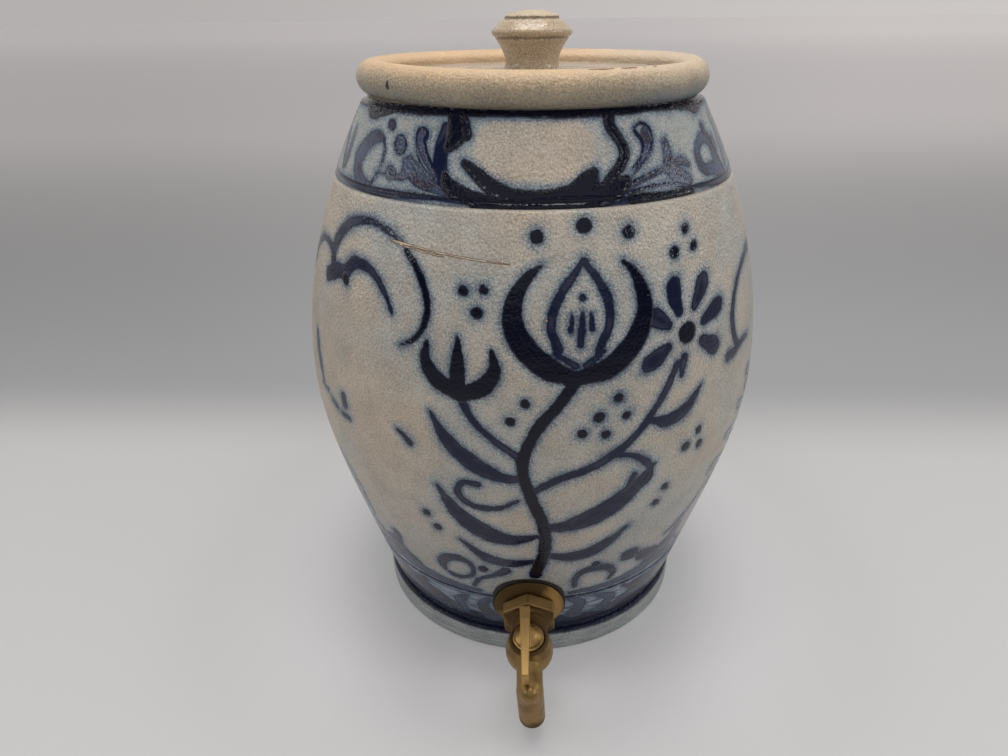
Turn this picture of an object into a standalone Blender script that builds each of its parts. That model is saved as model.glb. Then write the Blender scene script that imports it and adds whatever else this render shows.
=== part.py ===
"""Salt-glazed stoneware water pot with a loose lid and a brass ground-key tap.

Metres, +Z up. The origin is the centre of the foot's underside, and the tap points along -Y.
"""

import math
from types import SimpleNamespace

import bmesh
import bpy
from mathutils import Matrix, Vector

# Pot: outside
RIM_HEIGHT = 0.2810
RIM_DEPTH = 0.0150
RIM_RADIUS = 0.0797
RIM_WIDTH = 0.0121
RIM_OVERHANG = 0.0024
RIM_INNER_TURN = (180.0, 110.0)
RIM_OUTER_TURN = (84.0, -62.0)
NECK_CREASE = 0.0006
BELLY_RADIUS = 0.1130
BELLY_HEIGHT = 0.1400
WAIST_RADIUS = 0.0826
WAIST_HEIGHT = 0.0175
FOOT_RADIUS = 0.0830
FOOT_HEIGHT = 0.0120
FOOT_ROUND = 0.0030
FOOT_CHAMFER = 0.0010
CREASE_DEPTH = 0.0040

# Pot: thrown wall, floor and the lines cut in the wet clay
WALL = 0.0080
FLOOR = 0.0110
FLOOR_FILLET = 0.0120
FLOOR_FILLET_TURN = (-90.0, -8.0)
LINE_WIDTH = 0.0016
LINE_DEPTH = 0.0007
WAIST_LINE_RISE = 0.0235
BAND_LINE_DROP = 0.0338
BAND_LINE_PITCH = 0.0024

# Share of the half height over which the lower wall turns from a straight cone into the belly
BELLY_EASE_SHARE = 0.35

# Lid, its gallery in the rim, and the knob thrown on it
GALLERY_DEPTH = 0.0128
GALLERY_LEDGE = 0.0070
GALLERY_LIP = 0.0035
LID_SINK = 0.0060
LID_PLAY = 0.0010
LID_ROUND = 0.0015
LID_COLLAR_DEPTH = 0.0060
LID_COLLAR_WALL = 0.0060
LID_COLLAR_PLAY = 0.0012
KNOB_HEIGHT = 0.0250
KNOB_RADIUS = 0.0184
KNOB_STEM_RADIUS = 0.0123
KNOB_BUTTON_RADIUS = 0.0122
KNOB_BUTTON_SIDE = 0.0015
KNOB_BUTTON_DOME = 0.0023
KNOB_LINE_DEPTH = 0.0005

# Knob outline between stem and button: height as a share of the knob, radius as a share of
# the swell from the stem to the widest ring
KNOB_HEIGHT_SHARES = (0.0, 0.06, 0.20, 0.38, 0.52, 0.585, 0.63, 0.67, 0.74, 0.81)
KNOB_SWELL_SHARES = (0.25, 0.04, 0.0, 0.30, 0.68, 0.90, 1.0, 0.98, 0.66, 0.36)
KNOB_LINE_PLACE = 5
BUTTON_SHARES = (0.35, 0.65, 0.88, 1.0)

# Tap: place on the pot
TAP_RISE = 0.0305
TAP_DROOP = math.radians(12.0)
TAP_YAW = math.radians(0.8)
TAP_ROLL = math.radians(3.2)

# Tap: parts clamped to the wall
HOLE_PLAY = 0.0007
SHANK_RADIUS = 0.0080
GASKET_THICKNESS = 0.0008
GASKET_MARGIN = 0.0008
FLANGE_MARGIN = 0.0031
FLANGE_HEIGHT = 0.0035
FLANGE_EDGE = 0.0010
INNER_GASKET_RADIUS = 0.0140
INNER_GASKET_THICKNESS = 0.0024
WASHER_RADIUS = 0.0130
WASHER_THICKNESS = 0.0015
NUT_ACROSS_FLATS = 0.0238
NUT_THICKNESS = 0.0060
NUT_CHAMFER = 0.0008
SHANK_END = 0.0035
SHANK_CHAMFER = 0.0008

# Tap: the casting, from the wall outwards
COLLAR_ACROSS_FLATS = 0.0238
COLLAR_THICKNESS = 0.0063
SHOULDER_RADIUS = 0.0100
SHOULDER_LENGTH = 0.0022
TAP_NECK_RADIUS = 0.0085
TAP_NECK_LENGTH = 0.0017
BARREL_RADIUS = 0.0109
BARREL_LIP = 0.0014
BARREL_HALF_HEIGHT = 0.0095
BARREL_ROUND = 0.0006
SPOUT_LENGTH = 0.0196
SPOUT_DROP = 0.0230
SPOUT_ARM_RADIUS = 0.0059
SPOUT_RADIUS = 0.0061
SPOUT_LIP = 0.0004
KNUCKLE_RADIUS = 0.0043
KNUCKLE_REACH = 0.0030
KNUCKLE_RISE = 0.0020
WATERWAY_RADIUS = 0.0039
SPOUT_BORE_RADIUS = 0.0042

# Tap: the key
KEY_TOP_RADIUS = 0.0071
KEY_BOTTOM_RADIUS = 0.0053
KEY_PROUD = 0.0004
KEY_SHOULDER = 0.0010
KEY_NECK_TOP_RADIUS = 0.0036
KEY_NECK_HEIGHT = 0.0030
KEY_PORT_RADIUS = 0.0036
LEVER_TOP = 0.0050
LEVER_DEPTH = 0.0036
LEVER_FRONT = 0.0219
LEVER_CLEARANCE = 0.0012
LEVER_THICKNESS = 0.0048
LEVER_TIP_THICKNESS = 0.0030
LEVER_TIP_LENGTH = 0.0042
LEVER_TIP_CLEARANCE = 0.0010
LEVER_OFFSET = 0.0013
LEVER_ROUND = 0.0006
KEY_WASHER_MARGIN = 0.0014
KEY_WASHER_THICKNESS = 0.0012
SCREW_HEAD_RADIUS = 0.0038
SCREW_HEAD_HEIGHT = 0.0024
SCREW_RADIUS = 0.0018
SCREW_LENGTH = 0.0060
SLOT_WIDTH = 0.0010
SLOT_DEPTH = 0.0010

# Fits and mesh finish
SEAT_GAP = 0.0003
OVERRUN = 0.0040
MERGE = 0.00001
POT_STEPS = 48
TAP_STEPS = 32
BORE_STEPS = 24
WALL_POINTS = 9
ROUND_POINTS = 6
SHARP_ANGLE = math.radians(32.0)

NECK_HEIGHT = RIM_HEIGHT - RIM_DEPTH
NECK_RADIUS = RIM_RADIUS - RIM_OVERHANG
MOUTH_RADIUS = RIM_RADIUS - RIM_WIDTH
LEDGE_HEIGHT = RIM_HEIGHT - GALLERY_DEPTH
LEDGE_RADIUS = MOUTH_RADIUS - GALLERY_LEDGE
LID_TOP = RIM_HEIGHT - LID_SINK
LID_RADIUS = MOUTH_RADIUS - LID_PLAY
BAND_LINE_HEIGHT = NECK_HEIGHT - BAND_LINE_DROP
WAIST_LINE_HEIGHT = WAIST_HEIGHT + WAIST_LINE_RISE
FIT_RADIUS = SHANK_RADIUS + SEAT_GAP
COLLAR_CORNER = COLLAR_ACROSS_FLATS / 2 / math.cos(math.pi / 6)
FLANGE_RADIUS = COLLAR_CORNER + FLANGE_MARGIN
GASKET_RADIUS = FLANGE_RADIUS + GASKET_MARGIN
TAP_HEIGHT = FLOOR + TAP_RISE
OUTWARDS = (math.pi / 2, 0.0, 0.0)
SIDEWAYS = (0.0, math.pi / 2, 0.0)


def collection(name):
    group = bpy.data.collections.new(name)
    bpy.context.scene.collection.children.link(group)
    return group


def material(name, colour, roughness, metallic=0.0):
    made = bpy.data.materials.get(name) or bpy.data.materials.new(name)
    made.use_nodes = True
    shader = made.node_tree.nodes["Principled BSDF"]
    shader.inputs["Base Color"].default_value = (*colour, 1.0)
    shader.inputs["Roughness"].default_value = roughness
    shader.inputs["Metallic"].default_value = metallic
    made.diffuse_color = (*colour, 1.0)
    return made


def arc(centre, radius, start, end, count=ROUND_POINTS):
    """Points of an arc in the (radius, height) plane, angles in degrees from the outward direction."""
    points = []
    for i in range(count):
        angle = math.radians(start + (end - start) * i / (count - 1))
        points.append((centre[0] + radius * math.cos(angle), centre[1] + radius * math.sin(angle)))
    return points


def link(obj, group):
    group.objects.link(obj)
    if group.name == "cutters":
        obj.hide_render = True
        obj.display_type = "WIRE"
    return obj


def turned(name, profile, steps, group, closed=False):
    """Turn a profile of (radius, height) points, listed down its outer side, about the local Z axis."""
    points = [(radius, 0.0, height) for radius, height in profile]
    edges = [(i, i + 1) for i in range(len(points) - 1)]
    if closed:
        edges.append((len(points) - 1, 0))
    mesh = bpy.data.meshes.new(name)
    mesh.from_pydata(points, edges, [])
    obj = link(bpy.data.objects.new(name, mesh), group)
    screw = obj.modifiers.new("turn", "SCREW")
    screw.steps = steps
    screw.render_steps = steps
    screw.use_merge_vertices = True
    screw.merge_threshold = MERGE
    return obj


def prism(name, sides, across_flats, low, high, group):
    """A prism about the local Z axis with a corner at +Y."""
    mesh = bpy.data.meshes.new(name)
    shape = bmesh.new()
    corner = across_flats / 2 / math.cos(math.pi / sides)
    bmesh.ops.create_cone(
        shape, cap_ends=True, segments=sides, radius1=corner, radius2=corner, depth=high - low
    )
    bmesh.ops.translate(shape, verts=shape.verts, vec=(0.0, 0.0, (low + high) / 2))
    shape.to_mesh(mesh)
    shape.free()
    return link(bpy.data.objects.new(name, mesh), group)


def rod(name, radius, low, high, group, steps=BORE_STEPS):
    """A plain cylinder about the local Z axis."""
    profile = [(0.0, high), (radius, high), (radius, low), (0.0, low)]
    return turned(name, profile, steps, group)


def plate(name, outline, thickness, group):
    """A flat outline in the YZ plane, thickened evenly to both sides of it."""
    curve = bpy.data.curves.new(name, "CURVE")
    curve.dimensions = "2D"
    curve.fill_mode = "BOTH"
    curve.extrude = thickness / 2
    spline = curve.splines.new("POLY")
    spline.use_cyclic_u = True
    spline.points.add(len(outline) - 1)
    for point, (y, z) in zip(spline.points, outline):
        point.co = (y, z, 0.0, 1.0)
    obj = solid_of_curve(name, curve, group)
    stand = Matrix(((0.0, 0.0, 1.0, 0.0), (1.0, 0.0, 0.0, 0.0), (0.0, 1.0, 0.0, 0.0), (0.0, 0.0, 0.0, 1.0)))
    obj.data.transform(stand)
    return obj


def solid_of_curve(name, curve, group):
    drawn = bpy.data.objects.new(name + "_curve", curve)
    bpy.context.scene.collection.objects.link(drawn)
    bpy.context.view_layer.update()
    seen = drawn.evaluated_get(bpy.context.evaluated_depsgraph_get())
    mesh = bpy.data.meshes.new_from_object(seen)
    bpy.data.objects.remove(drawn)
    shape = bmesh.new()
    shape.from_mesh(mesh)
    bmesh.ops.remove_doubles(shape, verts=shape.verts, dist=MERGE)
    bmesh.ops.recalc_face_normals(shape, faces=shape.faces)
    shape.to_mesh(mesh)
    shape.free()
    mesh.name = name
    return link(bpy.data.objects.new(name, mesh), group)


def combine(obj, other, operation):
    step = obj.modifiers.new(other.name, "BOOLEAN")
    step.solver = "EXACT"
    step.operation = operation
    step.object = other


def place(obj, parent, location=(0.0, 0.0, 0.0), rotation=(0.0, 0.0, 0.0)):
    obj.parent = parent
    obj.location = location
    obj.rotation_euler = rotation
    return obj


def empty(name, matrix, parent=None):
    """A frame that carries pieces and isn't a piece itself."""
    frame = bpy.data.objects.new(name, None)
    bpy.context.scene.collection.objects.link(frame)
    frame.empty_display_size = BARREL_RADIUS
    frame.parent = parent
    frame.matrix_local = matrix
    return frame


def wall_radius(height):
    """Outer radius of the thrown wall: a parabola above the belly, a cone easing into it below."""
    if height >= BELLY_HEIGHT:
        share = (height - BELLY_HEIGHT) / (NECK_HEIGHT - BELLY_HEIGHT)
        return BELLY_RADIUS - (BELLY_RADIUS - NECK_RADIUS) * share ** 2
    share = (BELLY_HEIGHT - height) / (BELLY_HEIGHT - WAIST_HEIGHT)
    full = math.hypot(BELLY_EASE_SHARE, 1.0) - BELLY_EASE_SHARE
    fall = (math.hypot(BELLY_EASE_SHARE, share) - BELLY_EASE_SHARE) / full
    return BELLY_RADIUS - (BELLY_RADIUS - WAIST_RADIUS) * fall


def wall_heights(low, high, count):
    return [high + (low - high) * i / (count - 1) for i in range(count)]


def cut_line(height):
    """A shallow V cut in the wall, from its upper to its lower edge."""
    upper = height + LINE_WIDTH / 2
    lower = height - LINE_WIDTH / 2
    return [
        (wall_radius(upper), upper),
        (wall_radius(height) - LINE_DEPTH, height),
        (wall_radius(lower), lower),
    ]


def outer_wall(grow=0.0):
    """The wall's outside from neck to waist, down its outer side, grown for cutters."""
    heights = wall_heights(WAIST_HEIGHT, NECK_HEIGHT, 2 * WALL_POINTS)
    return [(wall_radius(height) + grow, height) for height in heights]


def lined_wall():
    """The outside from neck to waist with its three cut lines."""
    lines = [BAND_LINE_HEIGHT + BAND_LINE_PITCH, BAND_LINE_HEIGHT, WAIST_LINE_HEIGHT]
    plain = wall_heights(WAIST_HEIGHT, NECK_HEIGHT, 2 * WALL_POINTS)
    points = []
    for height in plain:
        if all(abs(height - line) > 2 * LINE_WIDTH for line in lines):
            points.append((wall_radius(height), height))
    for line in lines:
        points.extend(cut_line(line))
    return sorted(points, key=lambda point: -point[1])


def inner_wall(shrink=0.0):
    """The inside from the floor up to the gallery, up its inner side, shrunk for cutters."""
    ledge_foot = LEDGE_HEIGHT - GALLERY_LIP
    shoulder = ledge_foot - GALLERY_LEDGE - WALL
    corner = FLOOR + FLOOR_FILLET
    flat = wall_radius(corner) - WALL - FLOOR_FILLET - shrink
    points = arc((flat, corner + shrink), FLOOR_FILLET, *FLOOR_FILLET_TURN)
    for height in reversed(wall_heights(corner + FLOOR_FILLET / 2, shoulder, WALL_POINTS)):
        points.append((wall_radius(height) - WALL - shrink, height))
    points.append((LEDGE_RADIUS - shrink, ledge_foot))
    return points


def rim():
    """The rolled rim from the lid's ledge over the crest and down to the neck."""
    edge = RIM_WIDTH / 4
    crown = RIM_DEPTH / 2
    points = [(LEDGE_RADIUS, LEDGE_HEIGHT), (MOUTH_RADIUS, LEDGE_HEIGHT)]
    points += arc((MOUTH_RADIUS + edge, RIM_HEIGHT - edge * 3 / 2), edge, *RIM_INNER_TURN, 4)
    points += arc((RIM_RADIUS - crown, RIM_HEIGHT - crown), crown, *RIM_OUTER_TURN, WALL_POINTS)
    points.append((NECK_RADIUS - NECK_CREASE, NECK_HEIGHT + NECK_CREASE))
    return points


def pot_profile():
    """The whole section, from the middle of the floor round the rim to the middle of the base."""
    outside = lined_wall()
    foot_top = FOOT_HEIGHT - FOOT_ROUND
    crease = (WAIST_RADIUS - CREASE_DEPTH, (FOOT_HEIGHT + WAIST_HEIGHT) / 2)
    foot = [crease, (FOOT_RADIUS - FOOT_ROUND, FOOT_HEIGHT)]
    foot += arc((FOOT_RADIUS - FOOT_ROUND, foot_top), FOOT_ROUND, 60.0, 0.0, 4)
    foot += [(FOOT_RADIUS, FOOT_CHAMFER), (FOOT_RADIUS - FOOT_CHAMFER, 0.0), (0.0, 0.0)]
    return [(0.0, FLOOR)] + inner_wall() + rim() + outside + foot


def tap_frame():
    """The tap's own frame: origin on the wall's outside, -Y outwards, +Z along the key's axis."""
    origin = Vector((0.0, -wall_radius(TAP_HEIGHT), TAP_HEIGHT))
    turn = Matrix.Rotation(TAP_YAW, 4, "Z") @ Matrix.Rotation(TAP_DROOP, 4, "X")
    return Matrix.Translation(origin) @ turn @ Matrix.Rotation(-TAP_ROLL, 4, "Y")


def wall_reach(radius, inset):
    """Furthest that the wall comes out, or in for the inside, under a washer of this radius."""
    origin = Vector((-wall_radius(TAP_HEIGHT), TAP_HEIGHT))
    outwards = Vector((-math.cos(TAP_DROOP), -math.sin(TAP_DROOP)))
    upwards = Vector((-math.sin(TAP_DROOP), math.cos(TAP_DROOP)))
    reached = []
    for height in wall_heights(TAP_HEIGHT - 2 * radius, TAP_HEIGHT + 2 * radius, 8 * WALL_POINTS):
        offset = Vector((-(wall_radius(height) - inset), height)) - origin
        if abs(offset.dot(upwards)) <= radius:
            reached.append(offset.dot(outwards))
    return reached


def tap_stations():
    """Places along the tap's axis, positive outwards from the wall's outside."""
    at = SimpleNamespace()
    at.wall_outer = max(wall_reach(GASKET_RADIUS, 0.0))
    at.gasket_front = at.wall_outer + GASKET_THICKNESS
    at.flange_back = at.gasket_front + SEAT_GAP
    at.flange_seat = at.flange_back + FLANGE_HEIGHT
    at.collar_back = at.flange_seat + SEAT_GAP
    at.collar_front = at.collar_back + COLLAR_THICKNESS
    at.shoulder = at.collar_front + SHOULDER_LENGTH
    at.barrel = at.shoulder + TAP_NECK_LENGTH + BARREL_RADIUS
    at.spout = at.barrel + SPOUT_LENGTH
    at.wall_inner = min(wall_reach(INNER_GASKET_RADIUS, WALL))
    at.inner_gasket = at.wall_inner - INNER_GASKET_THICKNESS
    at.washer_outer = at.inner_gasket - SEAT_GAP
    at.washer_inner = at.washer_outer - WASHER_THICKNESS
    at.nut_outer = at.washer_inner - SEAT_GAP
    at.nut_inner = at.nut_outer - NUT_THICKNESS
    at.tail = at.nut_inner - SHANK_END
    return at


def salt_glaze():
    return material("salt_glaze", (0.56, 0.52, 0.46), 0.30)


def lid_glaze():
    return material("lid_glaze", (0.50, 0.45, 0.38), 0.35)


def cast_brass():
    return material("cast_brass", (0.45, 0.30, 0.13), 0.38, 1.0)


def key_brass():
    return material("key_brass", (0.55, 0.38, 0.17), 0.32, 1.0)


def turned_brass():
    return material("turned_brass", (0.60, 0.42, 0.17), 0.28, 1.0)


def black_rubber():
    return material("black_rubber", (0.015, 0.015, 0.016), 0.75)


def tap_ring(name, radius, low, high, tap, parts):
    """A flat ring that slides on the shank."""
    profile = [(radius, high), (radius, low), (FIT_RADIUS, low), (FIT_RADIUS, high)]
    return place(turned(name, profile, TAP_STEPS, parts, closed=True), tap, rotation=OUTWARDS)


def hexagon(name, across_flats, low, high, tap, group, cutters):
    """A hexagon on the tap's axis with the corners turned off both ends."""
    blank = place(prism(name, 6, across_flats, low, high, group), tap, rotation=OUTWARDS)
    corner = across_flats / 2 / math.cos(math.pi / 6)
    face = corner - NUT_CHAMFER
    edge = corner + NUT_CHAMFER / 2
    profile = [(0.0, high), (face, high), (edge, high - NUT_CHAMFER)]
    profile += [(edge, low + NUT_CHAMFER), (face, low), (0.0, low)]
    turning = turned(name + "_turning", profile, TAP_STEPS, cutters)
    combine(blank, place(turning, tap, rotation=OUTWARDS), "INTERSECT")
    return blank


def pot_body(at, tap, parts, cutters):
    """One thrown piece, with the tap's hole bored along the tap."""
    pot = turned("pot_body", pot_profile(), POT_STEPS, parts)
    radius = SHANK_RADIUS + HOLE_PLAY
    hole = rod("tap_hole", radius, at.wall_inner - WALL, at.wall_outer + WALL, cutters)
    combine(pot, place(hole, tap, rotation=OUTWARDS), "DIFFERENCE")
    pot.data.materials.append(salt_glaze())


def knob_profile():
    """The knob from the top of its button down to the lid."""
    outline = []
    for height_share, swell_share in zip(KNOB_HEIGHT_SHARES, KNOB_SWELL_SHARES):
        swell = (KNOB_RADIUS - KNOB_STEM_RADIUS) * swell_share
        outline.append((KNOB_STEM_RADIUS + swell, KNOB_HEIGHT * height_share))
    above = outline[KNOB_LINE_PLACE]
    below = outline[KNOB_LINE_PLACE - 1]
    outline.insert(KNOB_LINE_PLACE, (above[0] - KNOB_LINE_DEPTH, (above[1] + below[1]) / 2))
    button = [(0.0, KNOB_HEIGHT)]
    for share in BUTTON_SHARES:
        button.append((KNOB_BUTTON_RADIUS * share, KNOB_HEIGHT - KNOB_BUTTON_DOME * share ** 2))
    button.append((KNOB_BUTTON_RADIUS, KNOB_HEIGHT - KNOB_BUTTON_DOME - KNOB_BUTTON_SIDE))
    return button + outline[::-1]


def lid(parts):
    """A disc in the gallery with a locating collar below it and the knob on top."""
    under = LEDGE_HEIGHT + SEAT_GAP - LID_TOP
    collar = LEDGE_RADIUS - LID_COLLAR_PLAY
    disc = arc((LID_RADIUS - LID_ROUND, -LID_ROUND), LID_ROUND, 90.0, 0.0, 4)
    disc += [(LID_RADIUS, under), (collar, under), (collar, under - LID_COLLAR_DEPTH)]
    inside = collar - LID_COLLAR_WALL
    disc += [(inside, under - LID_COLLAR_DEPTH), (inside, under), (0.0, under)]
    cover = turned("lid", knob_profile() + disc, POT_STEPS, parts)
    place(cover, None, (0.0, 0.0, LID_TOP))
    cover.data.materials.append(lid_glaze())


def outer_gasket(at, tap, parts, cutters):
    """Rubber pressed to the wall's curve by the flange."""
    gasket = tap_ring("outer_gasket", GASKET_RADIUS, -GASKET_RADIUS, at.gasket_front, tap, parts)
    foot = WAIST_RADIUS + SEAT_GAP
    solid = [(0.0, NECK_HEIGHT)] + outer_wall(SEAT_GAP) + [(foot, 0.0), (0.0, 0.0)]
    combine(gasket, turned("wall_outside", solid, POT_STEPS, cutters), "DIFFERENCE")
    gasket.data.materials.append(black_rubber())


def tap_flange(at, tap, parts):
    """A domed washer: thin at its edge, and flat on top where the hexagon seats."""
    seat = COLLAR_ACROSS_FLATS / 2
    rise = FLANGE_HEIGHT - FLANGE_EDGE
    profile = [(FIT_RADIUS, at.flange_seat)]
    for i in range(ROUND_POINTS):
        share = i / (ROUND_POINTS - 1)
        profile.append((seat + (FLANGE_RADIUS - seat) * share, at.flange_seat - rise * share ** 2))
    profile += [(FLANGE_RADIUS, at.flange_back), (FIT_RADIUS, at.flange_back)]
    flange = turned("tap_flange", profile, TAP_STEPS, parts, closed=True)
    place(flange, tap, rotation=OUTWARDS)
    flange.data.materials.append(turned_brass())


def barrel_profile():
    """The barrel's outside: a belly between two plain ends that follow the plug's taper."""
    top = KEY_TOP_RADIUS + SEAT_GAP + BARREL_LIP
    bottom = KEY_BOTTOM_RADIUS + SEAT_GAP + BARREL_LIP
    half = BARREL_HALF_HEIGHT - BARREL_ROUND
    profile = [(0.0, BARREL_HALF_HEIGHT), (top - BARREL_ROUND, BARREL_HALF_HEIGHT)]
    for i in range(WALL_POINTS):
        share = i / (WALL_POINTS - 1)
        end = top + (bottom - top) * share
        profile.append((end + (BARREL_RADIUS - end) * math.sin(math.pi * share), half - 2 * half * share))
    return profile + [(bottom - BARREL_ROUND, -BARREL_HALF_HEIGHT), (0.0, -BARREL_HALF_HEIGHT)]


def stem_profile(at):
    """The casting on the tap's axis, from the barrel through collar and shank to the tail."""
    middle = (at.collar_back + at.collar_front) / 2
    profile = [(0.0, at.barrel), (TAP_NECK_RADIUS, at.barrel), (TAP_NECK_RADIUS, at.shoulder)]
    profile += [(SHOULDER_RADIUS, (at.collar_front + at.shoulder) / 2), (SHOULDER_RADIUS, middle)]
    profile += [(SHANK_RADIUS, middle), (SHANK_RADIUS, at.tail + SHANK_CHAMFER)]
    return profile + [(SHANK_RADIUS - SHANK_CHAMFER, at.tail), (0.0, at.tail)]


def spout_profile():
    """The spout from the round elbow on its top down to the mouth."""
    profile = arc((0.0, 0.0), SPOUT_RADIUS, 90.0, 0.0)
    profile[0] = (0.0, SPOUT_RADIUS)
    profile += [(SPOUT_RADIUS, SPOUT_LIP - SPOUT_DROP), (SPOUT_RADIUS - SPOUT_LIP, -SPOUT_DROP)]
    return profile + [(0.0, -SPOUT_DROP)]


def knuckle_profile():
    """The ball cast on the elbow's outer corner."""
    profile = arc((0.0, 0.0), KNUCKLE_RADIUS, 90.0, -90.0, WALL_POINTS)
    return [(0.0, KNUCKLE_RADIUS)] + profile[1:-1] + [(0.0, -KNUCKLE_RADIUS)]


def tap_body(at, tap, parts, cutters):
    """The casting: shank, hexagon, neck, barrel and spout joined, then bored."""
    casting = place(turned("tap_body", stem_profile(at), TAP_STEPS, parts), tap, rotation=OUTWARDS)
    barrel_place = (0.0, -at.barrel, 0.0)
    spout_place = (0.0, -at.spout, 0.0)
    span = (COLLAR_ACROSS_FLATS, at.collar_back, at.collar_front)
    combine(casting, hexagon("collar", *span, tap, cutters, cutters), "UNION")
    barrel = turned("barrel", barrel_profile(), TAP_STEPS, cutters)
    combine(casting, place(barrel, tap, barrel_place), "UNION")
    arm = rod("spout_arm", SPOUT_ARM_RADIUS, at.barrel, at.spout, cutters)
    combine(casting, place(arm, tap, rotation=OUTWARDS), "UNION")
    spout = turned("spout", spout_profile(), TAP_STEPS, cutters)
    combine(casting, place(spout, tap, spout_place), "UNION")
    knuckle = turned("knuckle", knuckle_profile(), BORE_STEPS, cutters)
    combine(casting, place(knuckle, tap, (0.0, -at.spout - KNUCKLE_REACH, KNUCKLE_RISE)), "UNION")

    taper = (KEY_TOP_RADIUS - KEY_BOTTOM_RADIUS) / (2 * BARREL_HALF_HEIGHT) * OVERRUN
    deep = BARREL_HALF_HEIGHT + OVERRUN
    cone = [(0.0, deep), (KEY_TOP_RADIUS + SEAT_GAP + taper, deep)]
    cone += [(KEY_BOTTOM_RADIUS + SEAT_GAP - taper, -deep), (0.0, -deep)]
    socket = turned("plug_socket", cone, TAP_STEPS, cutters)
    half_step = (0.0, 0.0, math.pi / TAP_STEPS)
    combine(casting, place(socket, tap, barrel_place, half_step), "DIFFERENCE")
    drilled = at.spout + WATERWAY_RADIUS / 3
    waterway = rod("waterway", WATERWAY_RADIUS, at.tail - OVERRUN, drilled, cutters)
    combine(casting, place(waterway, tap, rotation=OUTWARDS), "DIFFERENCE")
    bore = rod("spout_bore", SPOUT_BORE_RADIUS, -SPOUT_DROP - OVERRUN, WATERWAY_RADIUS / 2, cutters)
    combine(casting, place(bore, tap, spout_place), "DIFFERENCE")
    casting.data.materials.append(cast_brass())


def key_screw_seat():
    """Height of the screw head's upper face below the plug, on the key's axis."""
    return -BARREL_HALF_HEIGHT - KEY_PROUD - KEY_WASHER_THICKNESS - 2 * SEAT_GAP


def lever_outline(top, low):
    """The lever from the side: a flat bar whose front turns down to a thumb tip."""
    back = SHOULDER_LENGTH + TAP_NECK_LENGTH + BARREL_RADIUS - LEVER_CLEARANCE
    tip_low = SPOUT_RADIUS + LEVER_TIP_CLEARANCE
    tip_back = LEVER_TIP_LENGTH - LEVER_FRONT
    fillet = arc((tip_back + low - tip_low, tip_low), low - tip_low, 90.0, 180.0, ROUND_POINTS)
    outline = [(back - LEVER_ROUND, top), (back, top - LEVER_ROUND), (back, low)] + fillet
    outline += [(LEVER_ROUND - LEVER_FRONT, tip_low), (-LEVER_FRONT, tip_low + LEVER_ROUND)]
    outline += [(-LEVER_FRONT, top - LEVER_ROUND), (LEVER_ROUND - LEVER_FRONT, top)]
    return outline


def key_lever(axis, low, top, cutters):
    """The thumb lever, thinner towards its tip and cast a little to one side of the plug."""
    lever = plate("lever", lever_outline(top, low), LEVER_THICKNESS, cutters)
    back = max(vertex.co.y for vertex in lever.data.vertices)
    for vertex in lever.data.vertices:
        share = (back - vertex.co.y) / (back + LEVER_FRONT)
        vertex.co.x *= 1.0 + share * (LEVER_TIP_THICKNESS / LEVER_THICKNESS - 1.0)
    return place(lever, axis, (-LEVER_OFFSET, 0.0, 0.0))


def tap_key(axis, parts, cutters):
    """Tapered plug, neck and thumb lever in one casting, on the hinge's axis.

    The port lies across the waterway, so the tap is shut while the lever is over the spout.
    """
    plug_top = BARREL_HALF_HEIGHT + KEY_PROUD
    lever_top = plug_top + LEVER_TOP
    lever_low = lever_top - LEVER_DEPTH
    neck_end = lever_top - LEVER_DEPTH / 2
    neck = KEY_TOP_RADIUS - KEY_SHOULDER
    profile = [(0.0, neck_end), (KEY_NECK_TOP_RADIUS, neck_end)]
    profile += [(KEY_NECK_TOP_RADIUS, plug_top + KEY_NECK_HEIGHT), (neck, plug_top + KEY_NECK_HEIGHT / 2)]
    profile += [(neck, plug_top), (KEY_TOP_RADIUS, plug_top), (KEY_TOP_RADIUS, BARREL_HALF_HEIGHT)]
    profile += [(KEY_BOTTOM_RADIUS, -BARREL_HALF_HEIGHT), (KEY_BOTTOM_RADIUS, -plug_top), (0.0, -plug_top)]
    key = place(turned("tap_key", profile, TAP_STEPS, parts), axis)
    combine(key, key_lever(axis, lever_low, lever_top, cutters), "UNION")
    port = rod("key_port", KEY_PORT_RADIUS, -2 * KEY_TOP_RADIUS, 2 * KEY_TOP_RADIUS, cutters)
    combine(key, place(port, axis, rotation=SIDEWAYS), "DIFFERENCE")
    depth = key_screw_seat() + SCREW_LENGTH + SEAT_GAP
    thread = rod("screw_hole", SCREW_RADIUS + SEAT_GAP, -plug_top - OVERRUN, depth, cutters)
    combine(key, place(thread, axis), "DIFFERENCE")
    key.data.materials.append(key_brass())


def key_washer(axis, parts):
    """Spreads the screw's pull over the barrel's lower end."""
    radius = KEY_BOTTOM_RADIUS + SEAT_GAP + KEY_WASHER_MARGIN
    bore = SCREW_RADIUS + SEAT_GAP
    low = key_screw_seat() + SEAT_GAP
    high = low + KEY_WASHER_THICKNESS
    profile = [(radius, high), (radius, low), (bore, low), (bore, high)]
    washer = place(turned("key_washer", profile, TAP_STEPS, parts, closed=True), axis)
    washer.data.materials.append(turned_brass())


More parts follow.
